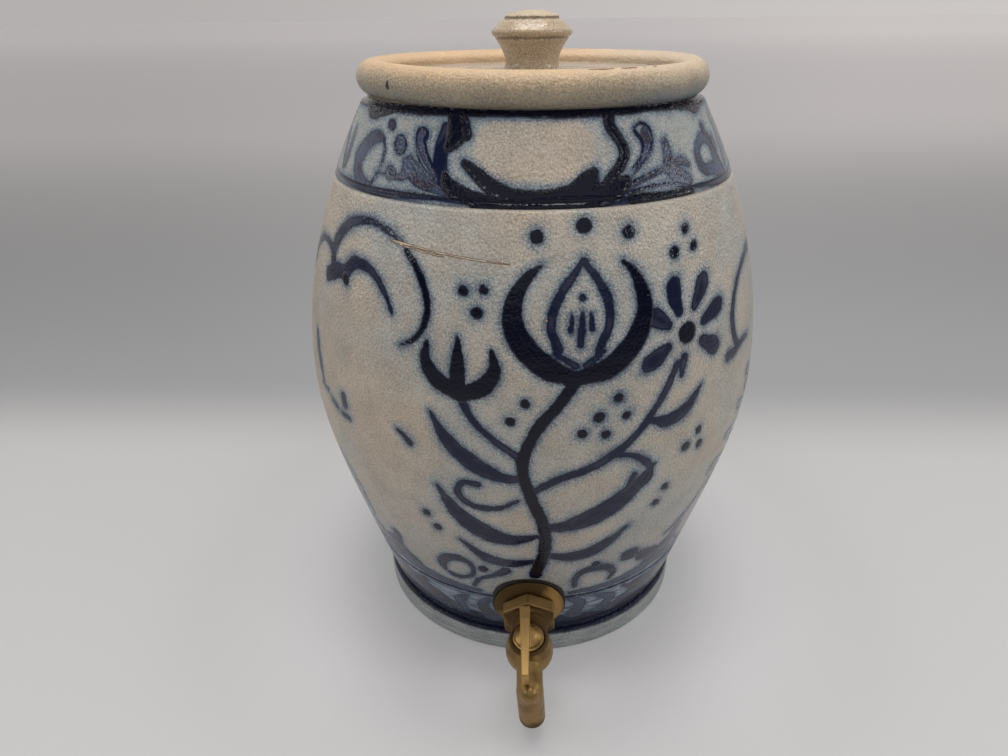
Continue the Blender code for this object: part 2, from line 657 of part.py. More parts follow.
def key_screw(axis, parts, cutters):
    """Slotted screw that draws the plug down into its taper."""
    seat = (0.0, 0.0, key_screw_seat())
    low = -SCREW_HEAD_HEIGHT
    round_off = SLOT_DEPTH / 2
    profile = [(0.0, SCREW_LENGTH), (SCREW_RADIUS, SCREW_LENGTH), (SCREW_RADIUS, 0.0)]
    profile += [(SCREW_HEAD_RADIUS, 0.0), (SCREW_HEAD_RADIUS, low + round_off)]
    profile += [(SCREW_HEAD_RADIUS - round_off, low), (0.0, low)]
    screw = place(turned("key_screw", profile, BORE_STEPS, parts), axis, seat)
    reach = 2 * SCREW_HEAD_RADIUS
    bottom = low - OVERRUN
    top = low + SLOT_DEPTH
    outline = [(-reach, top), (reach, top), (reach, bottom), (-reach, bottom)]
    slot = plate("screw_slot", outline, SLOT_WIDTH, cutters)
    combine(screw, place(slot, axis, seat), "DIFFERENCE")
    screw.data.materials.append(turned_brass())


def inner_gasket(at, tap, parts, cutters):
    """Rubber pressed to the inside of the wall."""
    front = at.wall_inner + WALL / 2
    gasket = tap_ring("inner_gasket", INNER_GASKET_RADIUS, at.inner_gasket, front, tap, parts)
    room = [(0.0, LEDGE_HEIGHT)] + inner_wall(SEAT_GAP)[::-1] + [(0.0, FLOOR + SEAT_GAP)]
    combine(gasket, turned("wall_inside", room, POT_STEPS, cutters), "INTERSECT")
    gasket.data.materials.append(black_rubber())


def inner_washer(at, tap, parts):
    washer = tap_ring("inner_washer", WASHER_RADIUS, at.washer_inner, at.washer_outer, tap, parts)
    washer.data.materials.append(turned_brass())


def lock_nut(at, tap, parts, cutters):
    """Holds the tap to the wall from inside."""
    nut = hexagon("lock_nut", NUT_ACROSS_FLATS, at.nut_inner, at.nut_outer, tap, parts, cutters)
    bore = rod("nut_bore", FIT_RADIUS, at.nut_inner - OVERRUN, at.nut_outer + OVERRUN, cutters)
    combine(nut, place(bore, tap, rotation=OUTWARDS), "DIFFERENCE")
    nut.data.materials.append(turned_brass())


def settle(parts):
    """Make each piece's modifiers into its mesh, and shade it smooth where it is round."""
    bpy.context.view_layer.update()
    graph = bpy.context.evaluated_depsgraph_get()
    settled = {obj: bpy.data.meshes.new_from_object(obj.evaluated_get(graph)) for obj in parts.objects}
    for obj, mesh in settled.items():
        obj.modifiers.clear()
        obj.data = mesh
        mesh.name = obj.name
        mesh.shade_smooth()
        mesh.set_sharp_from_angle(angle=SHARP_ANGLE)


def build():
    for obj in list(bpy.data.objects):
        bpy.data.objects.remove(obj)
    parts = collection("water_pot")
    cutters = collection("cutters")
    at = tap_stations()
    tap = empty("tap_frame", tap_frame())
    key_axis = empty("key_axis", Matrix.Translation((0.0, -at.barrel, 0.0)), tap)
    pot_body(at, tap, parts, cutters)
    lid(parts)
    outer_gasket(at, tap, parts, cutters)
    tap_flange(at, tap, parts)
    tap_body(at, tap, parts, cutters)
    tap_key(key_axis, parts, cutters)
    key_washer(key_axis, parts)
    key_screw(key_axis, parts, cutters)
    inner_gasket(at, tap, parts, cutters)
    inner_washer(at, tap, parts)
    lock_nut(at, tap, parts, cutters)
    settle(parts)


build()
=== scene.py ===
"""The salt-glazed water pot as it looks: thrown pot with cobalt brushwork, loose lid and brass tap.

Metres, +Z up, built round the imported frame. The tap points along -Y.
"""

import math

import bmesh
import bpy
import numpy as np
from mathutils import Matrix, Vector


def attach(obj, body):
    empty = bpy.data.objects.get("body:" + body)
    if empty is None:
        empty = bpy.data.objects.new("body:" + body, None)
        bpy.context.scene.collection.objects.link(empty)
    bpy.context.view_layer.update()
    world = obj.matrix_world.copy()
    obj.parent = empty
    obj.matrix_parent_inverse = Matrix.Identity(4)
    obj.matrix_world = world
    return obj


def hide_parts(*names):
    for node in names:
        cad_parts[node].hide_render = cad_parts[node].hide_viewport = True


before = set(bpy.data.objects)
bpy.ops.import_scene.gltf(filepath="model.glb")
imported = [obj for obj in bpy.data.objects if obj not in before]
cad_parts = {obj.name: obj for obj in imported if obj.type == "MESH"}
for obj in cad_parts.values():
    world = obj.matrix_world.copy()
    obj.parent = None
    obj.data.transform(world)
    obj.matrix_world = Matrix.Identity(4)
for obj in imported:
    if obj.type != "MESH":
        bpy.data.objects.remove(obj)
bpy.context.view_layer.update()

# The wall of the pot, from the double line under the shoulder down to the turned foot and the base.
# Grey stoneware clay thrown on the wheel, brushed with cobalt slip and glazed by salt thrown into the
# kiln, which leaves a thin glassy skin with the fine pits of an orange's peel.
MM = 0.001
NECK_HEIGHT = 0.2660
NECK_RADIUS = 0.0773
BELLY_RADIUS = 0.1130
BELLY_HEIGHT = 0.1400
BELLY_EASE = 0.35
WAIST_RADIUS = 0.0826
WAIST_HEIGHT = 0.0175
CREASE_DEPTH = 0.0040
CREASE_ROUND = 0.0007
FOOT_RADIUS = 0.0830
FOOT_HEIGHT = 0.0120
FOOT_ROUND = 0.0030
BASE_HOLLOW = 0.0008
LINE_DEPTH = 0.0007
LINE_WIDTH = 0.0016
BAND_LINES = (0.2346, 0.2322)
WAIST_LINE = 0.0410
TAP_HEIGHT = 0.0415
SKIN = 0.0030
ROW_STEP = 0.0013
SCRATCH_ROWS = (0.2127, 0.2183, 0.00031)
WALL_COLUMNS = 400
STROKE_REACH = 12.0
BRUSH_STEP = 2.0


def smooth_step(value, start, end):
    share = np.clip((value - start) / (end - start), 0.0, 1.0)
    return share * share * (3.0 - 2.0 * share)


def wall_radius(height):
    """Outer radius of the thrown wall: a parabola above the belly, easing into a cone below it."""
    height = np.asarray(height, float)
    share = (height - BELLY_HEIGHT) / (NECK_HEIGHT - BELLY_HEIGHT)
    above = BELLY_RADIUS - (BELLY_RADIUS - NECK_RADIUS) * share**2
    share = (BELLY_HEIGHT - height) / (BELLY_HEIGHT - WAIST_HEIGHT)
    full = math.hypot(BELLY_EASE, 1.0) - BELLY_EASE
    fall = (np.hypot(BELLY_EASE, share) - BELLY_EASE) / full
    return np.where(height >= BELLY_HEIGHT, above, BELLY_RADIUS - (BELLY_RADIUS - WAIST_RADIUS) * fall)


def cut_lines(height, lines):
    """Depth of the lines pressed into the turning clay."""
    depth = np.zeros_like(height)
    for line in lines:
        depth = np.maximum(depth, LINE_DEPTH * np.exp(-(((height - line) / (0.42 * LINE_WIDTH)) ** 2)))
    return depth


def hand_thrown(turn, height):
    """What a potter's hands leave: a little out of round, with faint rings, and true where the tap seats."""
    wave = 0.16 * np.sin(2 * turn + 1.3 + 26 * height) + 0.11 * np.sin(3 * turn - 0.7 + 47 * height)
    wave = wave + 0.06 * np.sin(5 * turn + 2.1 - 33 * height)
    rings = 0.035 * np.sin(900 * height + 0.8 * np.sin(turn) + 1.7 * np.sin(61 * height))
    beside = np.abs(np.sin(turn / 2)) * 2 * WAIST_RADIUS
    away = smooth_step(np.hypot(beside, height - TAP_HEIGHT), 0.020, 0.045)
    away = np.where(height > 0.1, 1.0, away)
    ease = smooth_step(height, 0.02, 0.05) * (1.0 - smooth_step(height, NECK_HEIGHT - 0.02, NECK_HEIGHT))
    return (wave + rings) * MM * ease * away


def column_turns(count, ease=0.36):
    """Angles round the pot, closer together at the front than at the back."""
    share = np.linspace(0.0, 2 * math.pi, count, endpoint=False)
    return share - ease * np.sin(share) + ease / 4 * np.sin(2 * share) / 2


def new_object(name, mesh):
    obj = bpy.data.objects.new(name, mesh)
    bpy.context.scene.collection.objects.link(obj)
    return obj


def turned_mesh(name, profile, turns, uneven=None):
    """A solid turned from (radius, height) points: down its outside, across, then up its inside."""
    profile = np.array(profile, float)
    rows, columns = len(profile), len(turns)
    turn = np.tile(turns, (rows, 1))
    radius = np.repeat(profile[:, :1], columns, 1)
    height = np.repeat(profile[:, 1:], columns, 1)
    if uneven is not None:
        radius = radius + uneven(turn, height) * (radius > 0)
    points = np.stack([radius * np.sin(turn), -radius * np.cos(turn), height], -1).reshape(-1, 3)
    row = np.array([i for i in range(rows) if profile[i, 0] > 0 or profile[(i + 1) % rows, 0] > 0])[:, None]
    column = np.arange(columns)[None, :]
    upper, lower, beside = row * columns, (row + 1) % rows * columns, (column + 1) % columns
    faces = np.stack([upper + column, lower + column, lower + beside, upper + beside], -1).reshape(-1, 4)
    mesh = bpy.data.meshes.new(name)
    mesh.vertices.add(len(points))
    mesh.vertices.foreach_set("co", points.astype(np.float32).ravel())
    mesh.loops.add(faces.size)
    mesh.loops.foreach_set("vertex_index", faces.astype(np.int32).ravel())
    mesh.polygons.add(len(faces))
    mesh.polygons.foreach_set("loop_start", np.arange(0, faces.size, 4, dtype=np.int32))
    mesh.update(calc_edges=True)
    if (profile[:, 0] == 0).any():
        shape = bmesh.new()
        shape.from_mesh(mesh)
        poles = [vertex for vertex in shape.verts if math.hypot(vertex.co.x, vertex.co.y) < 1e-7]
        bmesh.ops.remove_doubles(shape, verts=poles, dist=1e-6)
        shape.to_mesh(mesh)
        shape.free()
    mesh.shade_smooth()
    return new_object(name, mesh)


def arc(centre, radius, start, end, count):
    """Points of an arc in the (radius, height) plane, with angles in degrees from outwards."""
    angles = np.radians(np.linspace(start, end, count))
    return [(centre[0] + radius * math.cos(a), centre[1] + radius * math.sin(a)) for a in angles]


def finer(points, step):
    """More points along the same line, evenly between its corners."""
    out = [points[0]]
    for (r0, z0), (r1, z1) in zip(points, points[1:]):
        count = max(1, int(round(math.hypot(r1 - r0, z1 - z0) / step)))
        out += [(r0 + (r1 - r0) * i / count, z0 + (z1 - z0) * i / count) for i in range(1, count + 1)]
    return out


def drawn_curve(points):
    """A brush line through (place round the pot, height, width) points in millimetres."""
    knots = np.array(points if len(points) > 1 else [points[0], np.add(points[0], (0.2, 0, 0))], float)
    ends = np.vstack([2 * knots[0] - knots[1], knots, 2 * knots[-1] - knots[-2]])
    out = []
    for a, b, c, d in zip(ends, ends[1:], ends[2:], ends[3:]):
        count = max(2, int(math.hypot(c[0] - b[0], c[1] - b[1]) / BRUSH_STEP))
        t = np.linspace(0, 1, count, endpoint=False)[:, None]
        curve = 2 * b + (c - a) * t + (2 * a - 5 * b + 4 * c - d) * t**2 + (3 * b - a - 3 * c + d) * t**3
        out.append(curve / 2)
    return np.vstack(out + [knots[-1:]])


def stroke_distance(x, z, strokes):
    """Signed distance in millimetres to the nearest of the strokes, negative inside one."""
    nearest = np.full(x.shape, STROKE_REACH)
    for stroke in strokes:
        line = drawn_curve(stroke)
        low, high = line[:, :2].min(0) - STROKE_REACH, line[:, :2].max(0) + STROKE_REACH
        near = np.nonzero((x > low[0]) & (x < high[0]) & (z > low[1]) & (z < high[1]))[0]
        if not len(near):
            continue
        px, pz, best = x[near], z[near], nearest[near]
        for (x0, z0, w0), (x1, z1, w1) in zip(line, line[1:]):
            dx, dz = x1 - x0, z1 - z0
            t = np.clip(((px - x0) * dx + (pz - z0) * dz) / (dx * dx + dz * dz + 1e-9), 0, 1)
            best = np.minimum(best, np.hypot(px - x0 - t * dx, pz - z0 - t * dz) - (w0 + (w1 - w0) * t) / 2)
        nearest[near] = best
    return nearest


def vertex_places(obj):
    places = np.empty(3 * len(obj.data.vertices), np.float32)
    obj.data.vertices.foreach_get("co", places)
    return places.reshape(-1, 3)


def keep_values(obj, name, values):
    """Keep a value on each vertex of the piece, for its material to read by this name."""
    kept = obj.data.attributes.new(name, "FLOAT", "POINT")
    kept.data.foreach_set("value", values.astype(np.float32))


def paint(obj, layers):
    """Lay strokes on a turned piece, as one kept value for each kind of slip."""
    places = vertex_places(obj).astype(float)
    turn = np.arctan2(places[:, 0], -places[:, 1])
    for name, groups in layers.items():
        marks = np.full(len(turn), STROKE_REACH)
        for placed, strokes in groups:
            aside = (turn - math.radians(placed) + math.pi) % (2 * math.pi) - math.pi
            x = aside * wall_radius(places[:, 2]) / MM
            marks = np.minimum(marks, stroke_distance(x, places[:, 2] / MM, strokes))
        keep_values(obj, name, marks)


def add(tree, kind, values=(), **settings):
    """A node with its settings, and with values or other nodes' outputs on its sockets."""
    node = tree.nodes.new(kind if "Node" in kind else "ShaderNode" + kind)
    for name, setting in settings.items():
        setattr(node, name, setting)
    for socket, value in values:
        value = getattr(value, "socket", value)
        if isinstance(value, bpy.types.NodeSocket):
            tree.links.new(value, node.inputs[socket])
        else:
            node.inputs[socket].default_value = value
    return node


class Signal:
    """What a shader node gives out. Arithmetic on it adds the nodes that work the answer out."""

    def __init__(self, socket):
        self.socket = socket

    def then(self, kind, values, output=0, **settings):
        """What a further node of the same tree gives out."""
        return Signal(add(self.socket.id_data, kind, values, **settings).outputs[output])

    def maths(self, operation, other=0.0):
        return self.then("Math", [(0, self), (1, other)], operation=operation)

    def __add__(self, other):
        return self.maths("ADD", other)

    def __sub__(self, other):
        return self.maths("SUBTRACT", other)

    def __mul__(self, other):
        return self.maths("MULTIPLY", other)

    def __truediv__(self, other):
        return self.maths("DIVIDE", other)

    def __abs__(self):
        return self.maths("ABSOLUTE")

    def larger(self, other):
        return self.maths("MAXIMUM", other)

    def smaller(self, other):
        return self.maths("MINIMUM", other)

    def ramp(self, start, end, low=0.0, high=1.0):
        """Low at start and high at end, easing between them."""
        values = [("Value", self), ("From Min", start), ("From Max", end), ("To Min", low), ("To Max", high)]
        return self.then("MapRange", values, interpolation_type="SMOOTHSTEP")

    def line(self, width):
        """A thin line along the edge of a stroke, where the slip gathers as it dries."""
        return abs(self + width / 2).ramp(width, 0.0)

    def mix(self, first, second):
        """The first number where this is 0, and the second where it is 1."""
        return self.then("Mix", [(0, self), (2, first), (3, second)])

    def blend(self, first, second, kind="MIX", factor=None):
        """The first colour where this is 0, and the second where it is 1."""
        first, second = ((*colour, 1.0) if isinstance(colour, tuple) else colour for colour in (first, second))
        values = [(0, self if factor is None else factor), (6, first), (7, second)]
        return self.then("Mix", values, 2, data_type="RGBA", blend_type=kind)

    def shade(self, colour):
        """The colour, made this much lighter or darker."""
        grey = self.then("CombineColor", [(0, self), (1, self), (2, self)])
        return self.blend(colour, grey, "MULTIPLY", 1.0)

    def noise(self, feature, detail=2.0, roughness=0.5):
        """Noise over this place, whose blots are about this many millimetres across."""
        scale = 1.0 / (feature * MM)
        values = [("Vector", self), ("Scale", scale), ("Detail", detail), ("Roughness", roughness)]
        return self.then("TexNoise", values, "Fac")

    def stretched(self, *shares):
        return self.then("VectorMath", [(0, self), (1, shares)], operation="MULTIPLY")

    def reach(self):
        """How far this place is from the pot's axis."""
        flat = self.stretched(1.0, 1.0, 0.0)
        return flat.then("VectorMath", [(0, flat)], "Value", operation="LENGTH")

    def parts(self):
        """The X, Y and Z of this place."""
        return [Signal(output) for output in add(self.socket.id_data, "SeparateXYZ", [(0, self)]).outputs]


def mark(made, name):
    return Signal(add(made.node_tree, "Attribute", attribute_name=name).outputs["Fac"])


def new_material(name):
    """A material without a shader yet, and the place of each point on its piece."""
    made = bpy.data.materials.new(name)
    made.use_nodes = True
    made.node_tree.nodes.clear()
    return made, Signal(add(made.node_tree, "TexCoord").outputs["Object"])


def finish_material(made, colour, roughness, relief, strength, distance, **constants):
    """Give the material its shader, with this relief as a bump and with its constant values."""
    bump = [("Height", relief), ("Strength", strength), ("Distance", distance)]
    bump = add(made.node_tree, "Bump", bump).outputs[0]
    values = [("Base Color", colour), ("Roughness", roughness), ("Normal", bump)]
    values += [(socket.replace("_", " "), value) for socket, value in constants.items()]
    shader = add(made.node_tree, "BsdfPrincipled", values)
    add(made.node_tree, "OutputMaterial", [("Surface", shader.outputs[0])])
    return made


def group(name, taken, given):
    """An empty shader node group: its tree, what it takes in, and the node for what it gives out."""
    tree = bpy.data.node_groups.new(name, "ShaderNodeTree")
    for title, kind, start in taken:
        socket = tree.interface.new_socket(title, in_out="INPUT", socket_type="NodeSocket" + kind)
        if start is not None:
            socket.default_value = start
    for title, kind in given:
        tree.interface.new_socket(title, in_out="OUTPUT", socket_type="NodeSocket" + kind)
    enter = tree.nodes.new("NodeGroupInput").outputs
    return tree, [Signal(enter[title]) for title, _, _ in taken], tree.nodes.new("NodeGroupOutput")


def give_out(leave, **signals):
    for title, signal in signals.items():
        leave.id_data.links.new(signal.socket, leave.inputs[title])


def use_group(made, tree, **values):
    """What a shader node group gives out in this material."""
    node = add(made.node_tree, "Group", values.items(), node_tree=tree)
    return [Signal(output) for output in node.outputs]


salt_skin, (place, pitting, speckle), leave = group(
    "salt_skin",
    [("Place", "Vector", None), ("Pitting", "Float", 1.0), ("Speckle", "Float", 0.5)],
    [("Height", "Float"), ("Mottle", "Float"), ("Specks", "Float")],
)
values = [("Vector", place), ("Scale", 780.0), ("Randomness", 0.9)]
pits = place.then("TexVoronoi", values, "Distance", feature="SMOOTH_F1")
height = (place.noise(0.80, 2.5, 0.60) + pits.ramp(0.1, 0.75)) * 0.5
mottle = place.noise(16.0, 3.0, 0.6) * 0.30 + place.noise(0.65, 1.0, 0.6) * 0.70
values = [("Vector", place), ("Scale", 420.0), ("Randomness", 1.0)]
dots = add(salt_skin, "TexVoronoi", values, feature="F1").outputs
chosen = place.then("SeparateColor", [(0, dots["Color"])])
spots = Signal(dots["Distance"]).ramp(0.30, 0.12) * chosen.ramp(0.90, 0.93)
give_out(leave, Height=height * pitting, Mottle=mottle, Specks=spots * speckle)

BODY_WARM = (0.440, 0.370, 0.294)
BODY_GREY = (0.362, 0.358, 0.328)
BODY_TAN = (0.400, 0.340, 0.270)
BODY_LOW_BLUE_AND_SHADE = (0.244, 0.266, 0.288)
BODY_SPECK = (0.190, 0.155, 0.120)
TINT_BLUE = (0.232, 0.266, 0.276)
HALO_BLUE = (0.062, 0.092, 0.148)
SLIP_NAVY = (0.0050, 0.0080, 0.0280)
SLIP_BLACK = (0.0012, 0.0021, 0.0105)
WASH_VIOLET = (0.030, 0.030, 0.052)
WASH_BLUE = (0.046, 0.060, 0.105)
WALL_WASH = (0.034, 0.036, 0.062)
SCRATCH_CREAM = (0.600, 0.500, 0.370)
SCRATCH_EDGE_SHADE = (0.170, 0.105, 0.060)
FOOT_GREY = (0.265, 0.280, 0.282)
WAIST_BLUE = (0.246, 0.284, 0.332)
WAIST_DEEP = (0.042, 0.058, 0.100)


def salt_glaze(name, wash_colour, ground, raggedness, beading):
    """Salt-glazed clay under cobalt slip, which bleeds into the skin round each stroke in blue grains."""
    made, place = new_material(name)
    pitting, mottle, specks = use_group(made, salt_skin, Place=place)
    grains = mottle - 0.5
    height = place.parts()[2]
    sway = (place.noise(5.0) - 0.5) * 1.5
    waver = ((place.noise(1.1) - 0.5) * 0.9 + sway) * raggedness
    slip, thick, wash = (mark(made, kind) + waver for kind in ("slip", "thick", "wash"))
    scratch = mark(made, "scratch") + waver * 0.3
    clean = (mark(made, "bare") + sway * 2.0).ramp(1.5, -3.0)
    streaks = place.stretched(1.0, 1.0, 9.0).noise(13.0, 3.0)

    # Bare clay, bluer low down and in the ground of the band, with a far halo round the slip. Low down it is also
    # painted darker, as painted shade.
    body = place.noise(55.0, 3.0, 0.6).ramp(0.30, 0.68).blend(BODY_GREY, BODY_WARM)
    # Painted shade: the wall darker and bluer toward the bottom
    body = height.ramp(0.120, 0.050, 0.0, 0.45).blend(body, BODY_LOW_BLUE_AND_SHADE)
    body = (clean * 0.6).blend(body, BODY_TAN)
    tinted = streaks.ramp(0.30, 0.70, 0.6 * ground, ground) * clean.ramp(1.0, 0.0)
    body = tinted.blend(body, TINT_BLUE)
    edges = slip.smaller(wash).smaller(thick)
    far = (edges + grains * 8.0).ramp(6.0, 0.5) * clean.ramp(0.0, 1.0, 0.62, 0.10)
    body = far.blend(body, TINT_BLUE)

    # The foot's unglazed grey, the waist brushed blue above it, and slip gathered in the crease
    body = height.ramp(0.0200, 0.0160).blend(body, streaks.ramp(0.30, 0.70, 0.80, 1.20).shade(FOOT_GREY))
    waist = height.ramp(0.0430, 0.0385) * height.ramp(0.0165, 0.0175)
    body = (waist * 0.94).blend(body, streaks.ramp(0.42, 0.56).blend(WAIST_DEEP, WAIST_BLUE))
    gathered = (height + (streaks - 0.5) * 0.012).ramp(0.0290, 0.0225)
    gathered = gathered * (height - grains * 0.0012).ramp(0.0098, 0.0110)
    body = gathered.blend(body, SLIP_NAVY)
    body = mottle.ramp(0.32, 0.68, 0.74, 1.20).shade(body)
    body = specks.blend(body, BODY_SPECK)

    # The near halo, then the thin wash, the slip over it, the thickest slip, and the scratch with painted shade
    # along its edges
    near = (edges + grains * 7.0).ramp(2.6, -0.4)
    body = (near * 0.88).blend(body, HALO_BLUE)
    washed = wash.ramp(0.8, -0.8)
    body = washed.blend(body, place.noise(9.0, 2.0).ramp(0.35, 0.65).blend(wash_colour, WASH_BLUE))
    body = (wash.line(0.50) * 0.80).blend(body, SLIP_NAVY)
    depth = (place.noise(12.0, 2.0) + slip * -0.06).ramp(0.44, 0.66).larger(slip.line(0.90))
    covered = slip.ramp(0.45, -0.45)
    body = covered.blend(body, depth.blend(WASH_VIOLET, SLIP_NAVY))
    black = thick.ramp(0.5, -0.4)
    body = black.blend(body, SLIP_BLACK)
    # Painted shade: a brown line along both edges of the scratch
    body = scratch.ramp(0.30, 0.06).blend(body, SCRATCH_EDGE_SHADE)
    torn = scratch.ramp(0.02, -0.18)
    body = torn.blend(body, SCRATCH_CREAM)

    under = covered.larger(black).larger(washed * 0.6)
    gloss = (clean * 0.7).mix(mottle.ramp(0.40, 0.62, 0.42, 0.30), 0.20)
    gloss = torn.mix(under.mix(gloss, 0.08), 0.75)
    relief = pitting * under.ramp(0.0, 1.0, 1.0, 0.30) + (covered * 0.5 + black * 0.9) + torn * 1.2
    beads = thick.line(1.3) * place.noise(1.5).ramp(0.42, 0.60)
    relief = relief + beads * beading
    return finish_material(made, body, gloss, relief, 1.0, 0.00045, IOR=1.50, Specular_IOR_Level=0.32)


# Strokes as (millimetres round the pot from the tap's side, height, width) in the order they are drawn
left_scroll = [
    [(-102, 203, 5), (-101, 207, 5.5), (-98, 211.5, 5.5), (-93, 216, 5), (-86, 220, 4.2), (-78, 222.3, 3.6),
     (-71, 223, 3.3), (-64, 222, 3.2), (-57, 219.5, 2.6), (-53.5, 217.8, 1.6)],
    [(-51, 215, 2.2), (-46.5, 209.5, 2.9), (-43, 203, 3), (-41.5, 197, 3), (-42, 191, 2.7), (-45, 185, 2.2),
     (-49.5, 181, 1.7), (-55.5, 178, 1.0)],
    [(-107, 195.5, 6), (-101, 198, 7), (-95, 199.5, 6.5), (-89, 200.5, 6), (-83, 205, 5.5), (-76, 205.8, 4.6),
     (-70, 204, 4), (-65, 200.5, 3.2), (-61, 195, 2.4), (-59, 190, 1.6)], [(-89, 197.5, 5)],
    [(-101, 201, 6), (-102, 204, 5)],
    [(-104, 207, 3.2), (-110, 208.5, 2.6), (-117, 208.3, 2.4), (-124, 206, 2.6), (-130, 202.5, 3),
     (-134, 197, 3)],
]
right_scroll = [
    [(130, 202, 3.5), (122, 201.5, 3), (115, 199, 3), (108, 195, 3), (103, 188, 3.2), (101, 180, 4),
     (102.5, 173, 4), (106, 167, 3.5), (112, 164, 2.5)],
    [(98, 163, 4.5), (104, 163, 4.5), (111, 165, 3.5), (117, 165.5, 2.5), (122, 165, 1.2)],
]
right_leaves = [
    [(144, 138, 1.5), (136, 143, 4.5), (127, 146, 4)], [(147, 127, 1.5), (138, 134, 4.5), (129, 138, 3)],
    [(140, 121, 1.5), (130, 127, 4.5), (119, 131, 3)],
    [(143, 108, 1.5), (131, 114, 4), (120, 117, 4.5), (110, 117, 3)],
    [(144, 95, 4), (138, 103, 4.5), (128, 108, 4), (118, 112, 2)],
    [(129, 92, 1.5), (118, 97, 4), (107, 101, 5), (100, 99, 3)], [(134, 73, 1.5), (131, 82, 5), (122, 90, 3)],
    [(108, 90, 1.2), (98, 84, 2.4), (88, 76, 2.2), (73, 69, 2.0)],
]
left_sprigs = [
    [(-123, 165, 3.5), (-122, 158, 4), (-119, 150, 3.5), (-117, 143, 2)], [(-95, 144, 4), (-94, 140, 4)],
    [(-97, 134.5, 2.2), (-91, 134, 2.2)], [(-107, 138, 1.5), (-102, 136, 2.2)],
    [(-119, 142, 1.0), (-111, 141, 1.6)], [(-59, 140, 1.0), (-56, 138.5, 1.8), (-52.5, 135, 3)],
    [(-112, 103, 3), (-104, 94, 4), (-97, 84, 3.5), (-91, 71, 2)],
    [(-131, 100, 2), (-126, 84, 3.5), (-122, 66, 4), (-119, 48, 3)],
]
spray_stems = [
    [(3, 62, 6), (7, 80, 5.5), (6, 98, 5), (0, 116, 5), (-3, 132, 4.8), (2, 147, 4.6), (12, 160, 4.4),
     (18, 169, 5)],
    [(1, 117, 3.4), (12, 124, 3.8), (28, 130, 3.8), (44, 141, 3.6), (56, 156, 3.4), (63, 169, 3.6)],
    [(-2, 134, 3.2), (-12, 141, 3.4), (-22, 150, 3.2), (-28, 160, 4)],
    [(34, 134, 2), (44, 132, 2.8), (52, 126, 3.4), (54, 118, 3.2), (49, 113, 3), (44, 116, 2.8), (46, 121, 3.4)],
    [(-5, 112, 2), (-14, 107, 2.8), (-24, 107, 3.2), (-31, 113, 3.4), (-29, 120, 3), (-22, 120, 3.2)],
]
spray_tulip = [
    [(17, 170, 6), (6, 175, 9), (-4, 185, 9), (-7, 197, 7), (-2, 208, 4), (4, 213, 1.5)],
    [(20, 170, 6), (33, 174, 9), (43, 184, 9), (46, 196, 7), (42, 207, 4), (36, 213, 1.5)],
    [(11, 181, 3.6), (8, 191, 3.8), (11, 202, 3.8), (20, 214, 2.6)],
    [(27, 181, 3.6), (31, 191, 3.8), (29, 202, 3.8), (20.5, 214, 2.6)],
]
tulip_marks = [
    [(19.5, 183, 3), (19.8, 190, 2.8), (20, 196, 1.4)], [(15.5, 189, 2.4), (16, 195, 1.4)],
    [(24, 189, 2.4), (23.6, 195, 1.4)], [(19.8, 201, 2.8)], [(18, 175, 3.2), (10, 180, 2.4)],
    [(22, 175, 3.2), (29, 180, 2.4)],
]
spray_leaves = [
    [(5, 96, 2.5), (16, 96, 7), (30, 101, 11), (43, 110, 9.5), (56, 125, 1.5)],
    [(4, 90, 2.5), (-8, 87, 7), (-20, 91, 10), (-32, 101, 8), (-41, 116, 1.5)],
    [(6, 77, 2.5), (20, 74, 6.5), (33, 78, 7), (46, 89, 1.5)],
    [(5, 73, 2.5), (-8, 70, 5.5), (-20, 73, 5.5), (-32, 83, 1.5)],
    [(-1, 124, 2.5), (-12, 125, 5.5), (-24, 131, 8), (-35, 141, 6), (-42, 153, 1.2)],
    [(50, 148, 2), (60, 145, 6), (70, 148, 6), (79, 157, 1.2)],
]
spray_rosette = [
    [(68, 181, 9)], [(63, 190, 4.5), (60, 198, 8), (60, 201, 7)], [(72, 191, 4.5), (76, 198, 8), (77, 200, 7)],
    [(78, 184, 4.5), (86, 187, 8), (88, 188, 7)], [(77, 176, 4.5), (85, 172, 8), (86, 171, 7)],
    [(67, 171, 4), (66, 164, 3)], [(58, 177, 4.5), (51, 173, 8), (49, 172, 7)],
    [(58, 186, 4.5), (51, 190, 8), (49, 191, 7)],
]
spray_bud = [
    [(-29, 162, 6), (-38, 167, 7), (-43, 174, 5), (-42, 182, 1.6)],
    [(-28, 162, 6), (-19, 166, 7), (-14, 173, 5), (-15, 181, 1.6)],
    [(-29, 165, 6), (-29, 174, 6), (-28.5, 185, 1.4)],
]
spray_dots = [[(x, z, w)] for x, z, w in (
    (2, 223, 5), (38, 223, 5), (20, 226.5, 5.5), (-21, 195, 4.6), (-18, 204, 4), (-26, 203, 4), (60, 213, 4.6),
    (71, 214, 4), (66, 221, 4), (21, 146, 4), (28, 152.5, 4.4), (31, 144.5, 4), (-22, 63, 4.6), (32, 65, 4),
    (73, 128, 4.6), (80, 134, 4), (82, 126, 4), (-48, 96, 4), (-43, 88, 4), (60, 99, 4), (64, 108, 4),
    (-8, 152, 4), (-2, 160, 3.6), (36, 160, 4), (40, 152, 3.6),
)]
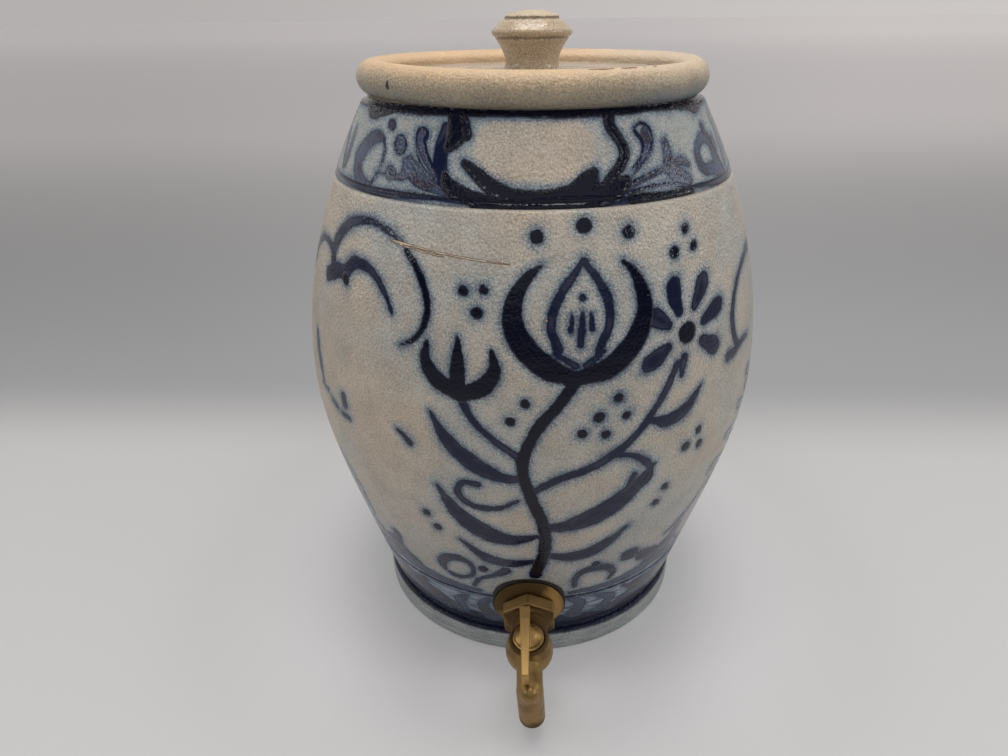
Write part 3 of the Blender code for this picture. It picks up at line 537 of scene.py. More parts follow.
foot_rings = [
    [(-42, 56, 3), (-43, 61, 5), (-40, 66, 5.5), (-35, 68, 5), (-29, 66.5, 3), (-26.5, 61, 2.5), (-28, 55.5, 2.5),
     (-34, 52.5, 3), (-39, 53.5, 3)], [(-20, 71.5, 5), (-17.5, 71.5, 6)],
    [(-11, 64, 5), (-14, 61, 4), (-18, 58.5, 2.5), (-24, 54, 2.5), (-27, 48, 2.5)],
    [(-78, 60, 5), (-75, 60, 6), (-70, 58, 5.5), (-64, 53, 4), (-58, 51, 3)],
    [(22, 50, 2.5), (22.5, 57, 3.5), (27, 61.5, 4.5), (34, 62, 5), (40, 59, 4), (42, 54, 3), (40, 50, 2)],
    [(49, 65, 8), (51, 65, 9)], [(59, 60, 9), (66, 58, 8), (70, 56, 5)],
    [(84, 68, 5), (80, 62, 6), (73, 55, 4), (66, 51, 3)],
]
foot_washes = [
    [(-86, 52, 4), (-70, 49, 6), (-52, 46, 6), (-36, 44.5, 4), (-24, 44.5, 2)],
    [(20, 44.5, 2), (36, 45, 4), (56, 47, 6), (74, 50, 6), (86, 53, 4)],
    [(-20, 38, 3), (-23, 31, 6), (-18, 22, 7)], [(-31, 37, 2.5), (-36, 31, 6), (-34, 24, 5)],
    [(21, 39, 4), (26, 34, 6), (23, 26, 7)], [(34, 38, 2.5), (43, 32, 6), (38, 25, 5)],
    [(-84, 37, 2.5), (-66, 34, 5), (-50, 29, 5), (-36, 22, 4)], [(-70, 30, 3), (-56, 26, 5), (-44, 21, 4)],
    [(84, 37, 2.5), (68, 33, 4), (54, 28, 4), (44, 22, 4)], [(50, 38, 2), (60, 31, 5), (74, 25, 5)],
]
back_scroll = [
    [(-40, 96, 2), (-26, 92, 4), (-10, 98, 5), (2, 110, 5), (8, 126, 4.5), (6, 142, 4), (-4, 154, 3.5),
     (-18, 158, 3), (-29, 151, 2.6), (-31, 140, 2.4), (-23, 133, 2.4), (-15, 138, 3)],
    [(8, 128, 3), (18, 140, 4), (24, 156, 4), (22, 172, 3.5), (12, 184, 3), (0, 186, 2.6), (-7, 178, 2.4),
     (-2, 171, 3)], [(24, 158, 2), (34, 166, 5), (38, 180, 6), (34, 194, 1.5)],
    [(2, 108, 2), (16, 104, 5), (30, 110, 6), (40, 124, 1.5)],
    [(-12, 97, 2), (-8, 82, 4), (4, 72, 4), (18, 70, 1.5)],
    [(-20, 158, 2), (-30, 168, 5), (-34, 182, 5), (-28, 196, 1.5)],
]
foot_brushed, foot_streaks = foot_washes[:6], foot_washes[6:]
whole_way = [[(x, 41.0, 1.6) for x in range(-270, 300, 30)]]
wall_scratch = [
    [(-60, 217.9, 0.4), (-54, 217.4, 0.7), (-48, 217.0, 0.6), (-40, 216.2, 0.5), (-30, 215.2, 0.5),
     (-20, 214.3, 0.5), (-8, 213.3, 0.3)],
    [(-57, 217.0, 0.3), (-50, 216.2, 0.5), (-42, 215.3, 0.5), (-34, 214.5, 0.3)],
    [(5.8, 193.3, 0.9), (6.3, 192.8, 0.8)],
]

heights = [h for h in np.arange(WAIST_HEIGHT, BAND_LINES[1] - 0.0014, ROW_STEP)
           if abs(h - WAIST_LINE) > 0.9 * LINE_WIDTH]
heights += list(WAIST_LINE + np.linspace(-0.8, 0.8, 9) * LINE_WIDTH)
heights += list(BAND_LINES[1] - np.linspace(0.0, 0.8, 5) * LINE_WIDTH) + list(np.arange(*SCRATCH_ROWS))
heights = np.array(sorted(heights, reverse=True))
radii = wall_radius(heights) - cut_lines(heights, (BAND_LINES[1], WAIST_LINE))
crease = (WAIST_RADIUS - CREASE_DEPTH + CREASE_ROUND, (FOOT_HEIGHT + WAIST_HEIGHT) / 2)
foot = [(float(radii[-1]), float(heights[-1])), (WAIST_RADIUS - 0.0006, WAIST_HEIGHT - 0.0003)]
foot += arc(crease, CREASE_ROUND, 130, 230, 5)
foot += arc((FOOT_RADIUS - FOOT_ROUND, FOOT_HEIGHT - FOOT_ROUND), FOOT_ROUND, 96, 0, 8)
foot += [(FOOT_RADIUS - inset, h) for inset, h in (
    (0.0, 0.0062), (0.0002, 0.0030), (0.0003, 0.0010), (0.0010, 0.0), (0.0060, 0.0), (0.0070, 0.0006))]
foot = finer(foot, 0.0011) + [(0.060, 0.0006), (0.040, 0.0007), (0.020, BASE_HOLLOW), (0.0, BASE_HOLLOW)]
lining = [(0.0, SKIN), (0.040, SKIN), (0.0750, SKIN), (0.0750, 0.0120)]
lining += [(float(wall_radius(h)) - SKIN, h) for h in np.linspace(0.022, BAND_LINES[1] - 0.006, 10)]
lining += [(float(radii[0]) - SKIN, float(heights[0]))]
profile = list(zip(radii, heights)) + foot[1:] + lining
pot_wall = turned_mesh("pot_wall", profile, column_turns(WALL_COLUMNS), hand_thrown)
spray = spray_stems + spray_leaves + spray_rosette + spray_bud + spray_dots + spray_tulip + tulip_marks
paint(pot_wall, {
    "slip": [(0, left_scroll + right_scroll + right_leaves + left_sprigs + spray + foot_rings + whole_way),
             (0, foot_streaks), *((turn, back_scroll) for turn in (-128, 128, 180)),
             *((turn, foot_rings + foot_streaks) for turn in (-90, 90, 180))],
    "thick": [(0, spray_tulip[:2] + spray_dots + spray_bud + spray_rosette[:1] + spray_stems[:1]),
              (0, left_scroll[1:2] + left_scroll[3:4])],
    "wash": [(turn, foot_brushed) for turn in (-90, 0, 90, 180)],
    "scratch": [(0, wall_scratch)],
    "bare": [],
})
pot_wall.data.materials.append(salt_glaze("salt_glazed_wall", WALL_WASH, 0.0, 1.0, 0.0))
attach(pot_wall, "pot")

# The shoulder band: the wall between the double line and the rim, thickly brushed with scrolls, ovals
# and leaves round a bare oval at the front. It is the same clay, thrown in one with the wall.
SEAM_DEPTH = 0.0017
TUCK_HEIGHT = 0.2312
BAND_ROW_STEP = 0.00072
BAND_COLUMNS = 520
BAND_WASH = (0.026, 0.024, 0.040)
band_strokes = [
    [(-33.5, 259.5, 4), (-35, 254, 6), (-36, 248.6, 6.5), (-35.4, 244, 6.5), (-33, 240, 6)],
    [(-62.3, 258.5, 4.4), (-61.2, 258.5, 4.4)],
    [(-59.3, 252, 1.3), (-57.5, 254.8, 1.3), (-54.4, 255, 1.3), (-52.6, 252.4, 1.3), (-54, 249.5, 1.3),
     (-57.5, 249, 1.3), (-59.3, 252, 1.3)],
    [(-70, 241, 1), (-64, 241, 1.1), (-63, 243, 1.2), (-60.5, 244, 1.2), (-58, 242.5, 1.2), (-59, 240, 1.2),
     (-62, 239.8, 1.2), (-64, 241, 1.1)],
    [(-66.5, 253.5, 1.6), (-65, 250, 1.6), (-66, 245, 1.6), (-69, 240, 1.6), (-73, 236.5, 1.6)],
    [(-47.6, 255, 1.1), (-46.4, 258, 1.2), (-43.6, 258.6, 1.3), (-42, 257, 1.8), (-42.6, 255.4, 2)],
    [(-43.6, 255, 1.6), (-42, 250, 1.7), (-38.8, 245, 1.6), (-34.5, 240.5, 1.4)],
    [(-47.4, 255, 1), (-47, 250, 1), (-44.5, 246, 1), (-41, 243, 1), (-36, 239.5, 1.2)],
    [(40.6, 258.5, 1.2), (44, 260, 1.4), (47.6, 258.6, 1.4), (49.6, 255, 1.4), (49, 250.5, 1.3), (46, 247, 1.2),
     (42, 244, 1), (38, 240.5, 1)],
    [(41, 257.6, 1.6), (44, 254.6, 2), (45, 251.6, 1.8), (43.6, 248, 1.4), (40, 244.6, 1.1)],
    [(84.2, 255.8, 3), (86.5, 254, 3.5)], [(94.5, 249.5, 4), (97, 246, 4)],
    [(100, 259, 4), (104, 254, 6), (107, 247, 6), (108, 240, 5)],
    [(-95, 254, 3), (-97, 250, 3.6), (-98, 245, 3.6), (-101, 240, 3)],
    [(36, 238, 2), (42, 240.6, 1.6), (52, 243.4, 1.2)],
    [(38, 236.6, 2), (46, 237.6, 1.6), (56, 238, 1.2), (66, 236, 1)],
]
band_washes = [
    [(-66, 253, 2), (-70, 254, 4.5), (-76, 252, 5.5), (-81, 248, 6.5), (-85, 244, 7.5), (-84, 239, 7),
     (-79, 236, 5), (-74, 235.6, 3)], [(-106, 252, 4), (-105, 246, 4), (-103, 240, 4)],
    [(-58.5, 240.5, 2), (-54, 241, 3), (-50, 244.5, 7.5), (-46, 241.5, 7), (-40, 238.8, 4.5), (-30, 237, 3)],
    [(-52.5, 246.5, 3), (-50, 247.5, 3)],
    [(-45.2, 256, 4.4), (-45, 252, 3.6), (-42.5, 248, 3), (-39, 244, 2.4), (-36, 241, 2)], [(-60.6, 242, 2.6)],
    [(-56, 252, 4.6)], [(56, 252.4, 3.4), (57.6, 248, 4.6), (58, 244, 5.6), (63, 240.4, 6), (70, 237.6, 4)],
    [(61, 244.6, 3), (66, 245, 3), (70, 243, 2)], [(38, 238, 1.5), (46, 240.6, 1.5), (54, 243, 2)],
    [(79, 242, 4), (77, 246.5, 4.4), (80, 250.5, 4.4), (86, 251.5, 4.4), (91, 249, 5), (94, 244, 6), (97, 240, 6),
     (102, 236, 5)], [(79, 242, 4), (83, 239.5, 4), (90, 239.5, 5), (96, 237.5, 5)],
    [(45.6, 257.2, 3.6), (47, 253, 4), (45.6, 249, 3), (42, 245.6, 2)],
]
band_black = [
    [(-29.5, 262.5, 7), (-29, 257, 7.5), (-32, 253, 4)],
    [(-33.5, 243, 3), (-31.8, 239.6, 6), (-26, 236.8, 6), (-18, 235.2, 5), (-8, 234.6, 5)],
    [(-25.8, 262, 4), (-25.2, 257.5, 5)],
    [(-25.5, 247.6, 3.4), (-21, 244.4, 5), (-16, 240.6, 6), (-9, 237.4, 6), (-1, 236.2, 6), (8, 236.4, 6.5),
     (16, 237.4, 8), (21, 240.4, 9), (23.5, 243.8, 5)],
    [(-22, 233.8, 4), (0, 233.8, 5), (20, 235.2, 8), (31, 237.6, 9), (37, 240.5, 5)],
    [(30, 263, 5), (30.4, 259.6, 4.4), (33.4, 256, 4), (36, 252, 4.4), (36.2, 248.4, 4.6), (33, 244.4, 4.4),
     (29.6, 241.4, 4)], [(40, 234.6, 4), (56, 233.8, 3), (72, 233.4, 2.4)],
]
# The black seam under the rim: partly the cobalt band and partly painted shade under the rim's overhang
seam_black_and_shade = [
    [(x, 265.2, 4.0 + 0.5 * math.sin(0.09 * x) + 0.3 * math.sin(0.23 * x)) for x in range(-288, 290, 9)],
    [(-83, 262.5, 2), (-78, 261.2, 3.4), (-70, 262.6, 3.5), (-60, 264, 1.5)],
    [(68, 263.4, 1.5), (75, 263, 2), (81, 261.8, 2.5), (90, 263.6, 1.5)],
]
line_wash = [[(x, 234.4 + 0.5 * math.sin(0.11 * x), 2.6 + 0.9 * math.sin(0.07 * x)) for x in range(-290, 300, 10)]]
bare_oval = [[(-12, 252, 22), (14, 252, 22)]]

heights = BAND_LINES[0] + np.linspace(1.2, -1.5, 12) * LINE_WIDTH
heights = np.concatenate([np.arange(NECK_HEIGHT, 0.2368, -BAND_ROW_STEP), heights])
heights = {round(float(h), 6) for h in heights if h > BAND_LINES[1] + 0.0001}
heights = np.array(sorted(heights, reverse=True))
radii = wall_radius(heights) - cut_lines(heights, BAND_LINES)
radii = radii - SEAM_DEPTH * smooth_step(heights, 0.2636, 0.2650)
tuck = float(wall_radius(TUCK_HEIGHT))
profile = list(zip(radii, heights)) + [(float(wall_radius(BAND_LINES[1])) - LINE_DEPTH, BAND_LINES[1])]
profile += [(tuck - 0.0004 - LINE_DEPTH, TUCK_HEIGHT), (tuck - SKIN - 0.0006, TUCK_HEIGHT)]
profile += [(float(wall_radius(0.2500)) - SKIN, 0.2500), (NECK_RADIUS - SKIN, NECK_HEIGHT)]
shoulder_band = turned_mesh("shoulder_band", profile, column_turns(BAND_COLUMNS), hand_thrown)
paint(shoulder_band, {
    "slip": [(0, band_strokes + line_wash), (180, band_strokes[:13]),
             (139, band_strokes[1:5] + band_strokes[13:14]), (-148, band_strokes[10:13])],
    "thick": [(0, band_black + seam_black_and_shade), (180, band_black[3:])],
    "wash": [(0, band_washes), (180, band_washes), (139, band_washes[:1] + band_washes[5:7]),
             (-148, band_washes[10:12])],
    "scratch": [],
    "bare": [(0, bare_oval)],
})
shoulder_band.data.materials.append(salt_glaze("salt_glazed_band", BAND_WASH, 0.62, 0.4, 1.4))
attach(shoulder_band, "pot")

# The rolled rim with the lid's ledge, and the inside of the pot down to its floor. The rim's crest is
# wiped clean of slip and scorched peach by the kiln; its side and the inside have a thin grey skin.
RIM_HEIGHT = 0.2810
RIM_DEPTH = 0.0150
RIM_RADIUS = 0.0797
RIM_WIDTH = 0.0121
RIM_COLUMNS = 260
MOUTH_RADIUS = RIM_RADIUS - RIM_WIDTH
LEDGE_HEIGHT = 0.2682
LEDGE_RADIUS = 0.0606
LEDGE_ROUND = 0.0010
WALL = 0.0080
FLOOR = 0.0110
FLOOR_FILLET = 0.0120
RIM_SAG = 0.0013
CHIP_REACH = 72.0
PIT_REACH = 79.5
CREST_PEACH = (0.575, 0.398, 0.238)
CREST_PALE = (0.560, 0.442, 0.314)
RIM_OLIVE = (0.345, 0.276, 0.184)
RIM_BLUE = (0.146, 0.166, 0.176)
CHIP_BROWN = (0.190, 0.095, 0.050)
LINING_GREY = (0.330, 0.315, 0.270)
LINING_BROWN = (0.305, 0.265, 0.205)
PIT_BLACK = (0.020, 0.018, 0.020)


def rim_glaze():
    """Peach on the crest, olive down its side and blue-grey toward the seam, most where salt settled."""
    made, place = new_material("rim_glaze")
    pitting, mottle, _ = use_group(made, salt_skin, Place=place)
    aside = place.parts()[0]
    reach = place.reach()
    height = mark(made, "level")
    level = height + (place.noise(22.0, 3.0) - 0.5) * 0.004 + (mottle - 0.5) * 0.006
    salted = aside.ramp(0.008, 0.062)
    crest = level.ramp(0.2745, 0.2816).larger(reach.ramp(0.0740, 0.0722))
    colour = crest.blend(RIM_OLIVE, salted.blend(CREST_PEACH, CREST_PALE))
    outer = reach.ramp(0.0750, 0.0765)
    strength = aside.ramp(-0.015, -0.065, 0.35, 0.60).larger(salted.ramp(0.0, 1.0, 0.35, 0.95))
    colour = (level.ramp(0.2775, 0.2680) * outer * strength).blend(colour, RIM_BLUE)
    grain = (mottle.ramp(0.32, 0.68) - 0.52) * crest.ramp(0.0, 1.0, 0.50, 0.16)
    colour = (grain + 1.0).shade(colour)
    ragged = (place.noise(1.3) - 0.5) * 1.2
    chipped = (mark(made, "chips") + ragged).ramp(0.25, -0.20)
    pitted = (mark(made, "pit") + ragged).ramp(0.30, -0.25)
    colour = pitted.blend(chipped.blend(colour, CHIP_BROWN), PIT_BLACK)
    # Under the lip the seam is painted black: partly the cobalt band and partly painted shade under the rim's
    # overhang
    colour = (height.ramp(0.2671, 0.2666) * outer).blend(colour, SLIP_BLACK)
    lining = place.noise(30.0, 3.0).ramp(0.35, 0.65).blend(LINING_GREY, LINING_BROWN)
    colour = height.ramp(0.2662, 0.2650).blend(colour, lining)
    relief = pitting - (chipped + pitted * 2.0)
    rough = crest.ramp(0.0, 1.0, 0.36, 0.55)
    return finish_material(made, colour, rough, relief, 0.9, 0.00040, Specular_IOR_Level=0.36)


def wavering_rim(turn, height):
    """The rim's side is not quite even where the sponge passed."""
    swell = 0.10 * np.sin(4 * turn + 0.6) + 0.07 * np.sin(9 * turn + 2.0) + 0.05 * np.sin(17 * turn)
    return swell * MM * smooth_step(height, NECK_HEIGHT, NECK_HEIGHT + 0.006)


edge = RIM_WIDTH / 4
crown = RIM_DEPTH / 2
outside = arc((RIM_RADIUS - crown, RIM_HEIGHT - crown), crown, 84, -62, 30)
outside += [(NECK_RADIUS - 0.0021, NECK_HEIGHT + 0.0006), (NECK_RADIUS - 0.0023, NECK_HEIGHT - 0.0010)]
outside += [(float(wall_radius(h)) - 0.0050, h) for h in np.linspace(0.2600, 0.0260, 12)]
outside += [(0.0720, 0.0060), (0.0, 0.0060)]
corner = FLOOR + FLOOR_FILLET
flat = float(wall_radius(corner)) - WALL - FLOOR_FILLET
inside = [(0.0, FLOOR), (0.020, FLOOR), (0.040, FLOOR)] + arc((flat, corner), FLOOR_FILLET, -90, -8, 9)
shoulder = LEDGE_HEIGHT - 0.0035 - 0.0070 - WALL
inside += [(float(wall_radius(h)) - WALL, h) for h in np.linspace(corner + 0.006, shoulder, 60)]
inside += arc((LEDGE_RADIUS + LEDGE_ROUND, LEDGE_HEIGHT - 0.0036), LEDGE_ROUND, 215, 180, 4)
inside += [(LEDGE_RADIUS, LEDGE_HEIGHT - 0.0006), (LEDGE_RADIUS + 0.0006, LEDGE_HEIGHT)]
inside = finer(inside[:-1], 0.004) + [inside[-1]]
inside += [(MOUTH_RADIUS - 0.0005, LEDGE_HEIGHT), (MOUTH_RADIUS, LEDGE_HEIGHT + 0.0005)]
lip = RIM_HEIGHT - edge * 1.5
inside += finer([(MOUTH_RADIUS, LEDGE_HEIGHT + 0.0006), (MOUTH_RADIUS, lip - 0.0002)], 0.0016)
inside += arc((MOUTH_RADIUS + edge, lip), edge, 180, 110, 12)
rim = turned_mesh("rim_and_lining", outside + inside, column_turns(RIM_COLUMNS), wavering_rim)

# Flakes lost from the crest at the right, and one burst pit low on the left, as (place round, reach or
# height, width) in millimetres
crest_chips = [
    [(21, 74.2, 0.7), (26, 74.4, 1.2), (31, 74.3, 0.8)], [(34, 74.3, 0.8), (37, 74.4, 1.3), (41, 74.2, 0.8)],
    [(45, 74.3, 1.1)], [(50, 74.2, 1.2), (51, 74.2, 1.1)],
]
burst_pit = [[(-64.2, 274.2, 1.7), (-64.4, 272.7, 2.2)]]
places = vertex_places(rim)
turn = np.arctan2(places[:, 0], -places[:, 1])
reach = np.hypot(places[:, 0], places[:, 1])
keep_values(rim, "level", places[:, 2])
on_crest = np.where(places[:, 2] > 0.2760, reach, 0.0) / MM
keep_values(rim, "chips", stroke_distance(turn * CHIP_REACH, on_crest, crest_chips))
keep_values(rim, "pit", stroke_distance(turn * PIT_REACH, places[:, 2] / MM, burst_pit))
# The rim came out of the kiln a little low at the front
sag = RIM_SAG * smooth_step(np.cos(turn - 0.35), 0.15, 1.0) * smooth_step(places[:, 2], 0.2560, 0.2680)
places[:, 2] -= sag.astype(np.float32)
rim.data.vertices.foreach_set("co", places.ravel())
rim.data.update()
rim.data.materials.append(rim_glaze())
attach(rim, "pot")
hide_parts("pot_body")
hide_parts("pot_body")
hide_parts("pot_body")

# Kiln crumbs stuck in the glaze where it gathered under the rim. Grains of brick and fired salt that fell
# from the kiln's roof while the skin was soft, most of them at the right and a few at the left.
CRUMB_SIZE = 0.00034
CRUMB_ROWS = (0.2636, 0.2648, 0.2656)
CRUMB_COLUMNS = 24
CRUMBS_RIGHT = (44.0, 76.0, 330000.0)
CRUMBS_LEFT = (-74.0, -50.0, 180000.0)
CRUMB_BROWN = (0.030, 0.018, 0.014)
CRUMB_SAND = (0.330, 0.230, 0.140)


def keep_modifiers(obj):
    """Keep what the modifiers make as the piece's own mesh."""
    graph = bpy.context.evaluated_depsgraph_get()
    made = bpy.data.meshes.new_from_object(obj.evaluated_get(graph))
    obj.modifiers.clear()
    obj.data = made


def grow(obj, tree, **sizes):
    """Run a Geometry Nodes tree on the piece with these sizes, and keep what it makes as a plain mesh."""
    step = obj.modifiers.new(tree.name, "NODES")
    step.node_group = tree
    for socket in tree.interface.items_tree:
        if socket.name in sizes:
            step[socket.identifier] = sizes[socket.name]
    keep_modifiers(obj)


def geometry_tree(name, sizes):
    """A Geometry Nodes tree that takes a mesh and these sizes, and gives a mesh."""
    tree = bpy.data.node_groups.new(name, "GeometryNodeTree")
    tree.interface.new_socket("Geometry", in_out="INPUT", socket_type="NodeSocketGeometry")
    for title, kind in sizes:
        tree.interface.new_socket(title, in_out="INPUT", socket_type="NodeSocket" + kind)
    tree.interface.new_socket("Geometry", in_out="OUTPUT", socket_type="NodeSocketGeometry")
    return tree, tree.nodes.new("NodeGroupInput").outputs


def finish_tree(tree, geometry, material):
    """Make the instances real, give them their material and send them out."""
    real = add(tree, "GeometryNodeRealizeInstances", [("Geometry", geometry)]).outputs["Geometry"]
    dressed = add(tree, "GeometryNodeSetMaterial", [("Geometry", real), ("Material", material)])
    add(tree, "NodeGroupOutput", [("Geometry", dressed.outputs["Geometry"])])


def crumb_finish():
    """Fired brick and salt: sandy to dark brown grains with a dull skin."""
    made, place = new_material("kiln_crumb")
    colour = place.noise(0.7).ramp(0.40, 0.60).blend(CRUMB_BROWN, CRUMB_SAND)
    rough = place.noise(0.3).ramp(0.3, 0.7, 0.35, 0.75)
    return finish_material(made, colour, rough, place.noise(0.12), 0.5, 0.0001)


crumb_tree, sizes = geometry_tree("crumbs", [("Density", "Float"), ("Size", "Float"), ("Seed", "Int")])
values = [("Mesh", sizes["Geometry"]), ("Density", sizes["Density"]), ("Seed", sizes["Seed"])]
scatter = add(crumb_tree, "GeometryNodeDistributePointsOnFaces", values)
grain = add(crumb_tree, "GeometryNodeMeshIcoSphere", [("Radius", sizes["Size"]), ("Subdivisions", 1)])
turned, scaled = (
    add(crumb_tree, "FunctionNodeRandomValue", [(0, least), (1, most), ("Seed", seed)], data_type="FLOAT_VECTOR")
    for least, most, seed in (((0.0, 0.0, 0.0), (6.28, 6.28, 6.28), 3), ((0.35, 0.35, 0.30), (1.3, 1.1, 0.9), 5))
)
values = [("Points", scatter.outputs["Points"]), ("Instance", grain.outputs["Mesh"])]
values += [("Rotation", turned.outputs[0]), ("Scale", scaled.outputs[0])]
planted = add(crumb_tree, "GeometryNodeInstanceOnPoints", values)
finish_tree(crumb_tree, planted.outputs["Instances"], crumb_finish())

for title, (start, end, density), seed in (("crumbs_right", CRUMBS_RIGHT, 11), ("crumbs_left", CRUMBS_LEFT, 12)):
    turns = np.radians(np.linspace(start, end, CRUMB_COLUMNS))
    points = []
    for height in CRUMB_ROWS:
        radius = float(wall_radius(height)) + 0.0001
        points += [(radius * math.sin(t), -radius * math.cos(t), height) for t in turns]
    corners = [row * CRUMB_COLUMNS + i for row in range(len(CRUMB_ROWS) - 1) for i in range(CRUMB_COLUMNS - 1)]
    faces = [(i, i + 1, i + 1 + CRUMB_COLUMNS, i + CRUMB_COLUMNS) for i in corners]
    mesh = bpy.data.meshes.new(title)
    mesh.from_pydata(points, [], faces)
    crumbs = new_object(title, mesh)
    grow(crumbs, crumb_tree, Density=density, Size=CRUMB_SIZE, Seed=seed)
    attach(crumbs, "pot")

# The lid: a thrown disc with a ring below that keeps it in the mouth and a turned knob on top, fired
# with the pot. It is loose and lifts straight out.
LID_TOP = 0.2750
LID_RADIUS = MOUTH_RADIUS - 0.0010
LID_ROUND = 0.0015
LID_COLUMNS = 240
COLLAR_DEPTH = 0.0060
KNOB_HEIGHT = 0.0250
KNOB_TOP = LID_TOP + KNOB_HEIGHT
KNOB_RADIUS = 0.0184
KNOB_STEM_RADIUS = 0.0123
KNOB_SHARES = ((0.0, 0.25), (0.06, 0.04), (0.20, 0.0), (0.38, 0.30), (0.52, 0.68), (0.585, 0.90), (0.63, 1.0),
               (0.67, 0.98), (0.74, 0.66), (0.81, 0.36))
KNOB_LINE_DEPTH = 0.0005
BUTTON_RADIUS = 0.0122
BUTTON_SIDE = 0.0015
BUTTON_DOME = 0.0023
BUTTON_ROUND = 0.0007
LEDGE_LINE = (LID_TOP + 0.0132, LID_TOP + 0.0142)
BUTTON_LINE = (KNOB_TOP - BUTTON_DOME - BUTTON_SIDE, KNOB_TOP - BUTTON_DOME - 0.0004)
LID_GREY = (0.620, 0.530, 0.415)
LID_DARK = (0.200, 0.172, 0.138)
BUTTON_SAND = (0.470, 0.378, 0.262)
KNOB_BROWN = (0.390, 0.290, 0.185)
KNOB_EDGE = (0.130, 0.085, 0.050)


def lid_glaze():
    """Glossy grey with rings of lighter and darker speckle, browner on the knob, sandy on its button."""
    made, place = new_material("lid_glaze")
    pitting, mottle, _ = use_group(made, salt_skin, Place=place)
    height = place.parts()[2]
    rings = place.then("CombineXYZ", [("X", place.reach())]).noise(1.7, 3.0)
    colour = (mottle + (rings - 0.5) * 0.22).ramp(0.36, 0.64).blend(LID_DARK, LID_GREY)
    knob = height.ramp(LID_TOP + 0.0002, LID_TOP + 0.0016)
    colour = (knob * 0.86).blend(colour, KNOB_BROWN)
    button = height.ramp(LID_TOP + 0.0198, LID_TOP + 0.0212)
    colour = button.blend(colour, BUTTON_SAND)
    level = height + (place.noise(1.4, 3.0) - 0.5) * 0.0022
    for low, high in (LEDGE_LINE, BUTTON_LINE):
        beside = abs(level - (low + high) / 2)
        colour = (beside.ramp((high - low) * 0.75, (high - low) * 0.25) * 0.75).blend(colour, KNOB_EDGE)
    colour = mottle.ramp(0.32, 0.68, 0.74, 1.18).shade(colour)
    rough = button.mix(mottle.ramp(0.38, 0.62, 0.20, 0.08), 0.60)
    return finish_material(made, colour, rough, pitting, 0.7, 0.00034)


knob = [(KNOB_STEM_RADIUS + (KNOB_RADIUS - KNOB_STEM_RADIUS) * swell, LID_TOP + KNOB_HEIGHT * share)
        for share, swell in KNOB_SHARES]
stem = [tuple(p[:2]) for p in drawn_curve([(r * 1000, z * 1000, 0) for r, z in knob[:6]])]
stem = [(r / 1000, z / 1000) for r, z in finer(stem, 0.6)]
line_height = (knob[4][1] + knob[5][1]) / 2
stem = [(r - KNOB_LINE_DEPTH * math.exp(-((z - line_height) / 0.0005) ** 2), z) for r, z in stem]
button = [(BUTTON_RADIUS * s, KNOB_TOP - BUTTON_DOME * s**2) for s in np.linspace(0, 0.94, 14)]
centre = (BUTTON_RADIUS - BUTTON_ROUND, KNOB_TOP - BUTTON_DOME - BUTTON_ROUND)
button += arc(centre, BUTTON_ROUND, 70, 0, 5) + [(BUTTON_RADIUS, KNOB_TOP - BUTTON_DOME - BUTTON_SIDE)]
under = LEDGE_HEIGHT + 0.0003
collar = LEDGE_RADIUS - 0.0012
disc = finer([(0.0140, LID_TOP), (LID_RADIUS - LID_ROUND, LID_TOP)], 0.0016)[1:]
disc += arc((LID_RADIUS - LID_ROUND, LID_TOP - LID_ROUND), LID_ROUND, 84, 0, 6)
disc += [(LID_RADIUS, under + 0.0004), (LID_RADIUS - 0.0004, under)]
disc += [(collar + out, under - down) for out, down in (
    (0.0003, 0.0), (0.0, 0.0003), (0.0, COLLAR_DEPTH - 0.0004), (-0.0004, COLLAR_DEPTH), (-0.0056, COLLAR_DEPTH),
    (-0.0060, COLLAR_DEPTH - 0.0004), (-0.0060, 0.0003), (-0.0063, 0.0))]
disc += [(0.03, under), (0.0, under)]


def thrown_lid(turn, height):
    """The knob's top is a little out of round."""
    swell = 0.09 * np.sin(3 * turn + 1.1) + 0.05 * np.sin(7 * turn) + 0.04 * np.sin(13 * turn + 2.0)
    return swell * MM * smooth_step(height, LID_TOP + 0.012, LID_TOP + 0.020)


profile = button + finer(finer(knob[5:], 0.0008)[::-1], 0.0008) + stem[::-1][1:] + disc
lid = turned_mesh("lid_and_knob", profile, column_turns(LID_COLUMNS, 0.2), thrown_lid)
lid.data.materials.append(lid_glaze())
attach(lid, "lid")
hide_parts("lid")

# The rubber washers under the flange and inside the wall. Soft black sheet cut round, pressed to the
# curve of the wall by the lock nut.
RUBBER_BLACK = (0.012, 0.010, 0.009)
RUBBER_DUST = (0.045, 0.032, 0.022)


def rubber():
    made, place = new_material("rubber")
    dust = place.noise(1.5, 3.0).ramp(0.45, 0.75)
    rough = dust.ramp(0.0, 1.0, 0.6, 0.8)
    return finish_material(made, dust.blend(RUBBER_BLACK, RUBBER_DUST), rough, place.noise(0.3), 0.3, 0.0001)


def dress(names, material):
    """Give these solids of the frame their material."""
    for name in names:
        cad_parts[name].data.materials.clear()
        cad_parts[name].data.materials.append(material)


dress(("outer_gasket", "inner_gasket"), rubber())

# The domed brass washer between the rubber and the hexagon. Spun from sheet, with a brighter rim where it was
# turned. Its upper part is painted darker, as painted shade and painted reflection of the wall above it.
TAP_DROOP = math.radians(12.0)
TAP_YAW = math.radians(0.8)
TAP_ROLL = math.radians(3.2)
COLLAR_ACROSS_FLATS = 0.0238
FIT_RADIUS = 0.0083
FLANGE_RADIUS = 0.01684
FLANGE_BACK = 0.00276
FLANGE_SEAT = 0.00626
FLANGE_EDGE = 0.0010
FLANGE_COLUMNS = 96
BRASS_BRIGHT = (0.780, 0.540, 0.220)
BRASS_DULL = (0.520, 0.330, 0.125)
BRASS_DARK = (0.120, 0.072, 0.030)
FLANGE_DULL = (0.346, 0.208, 0.068)

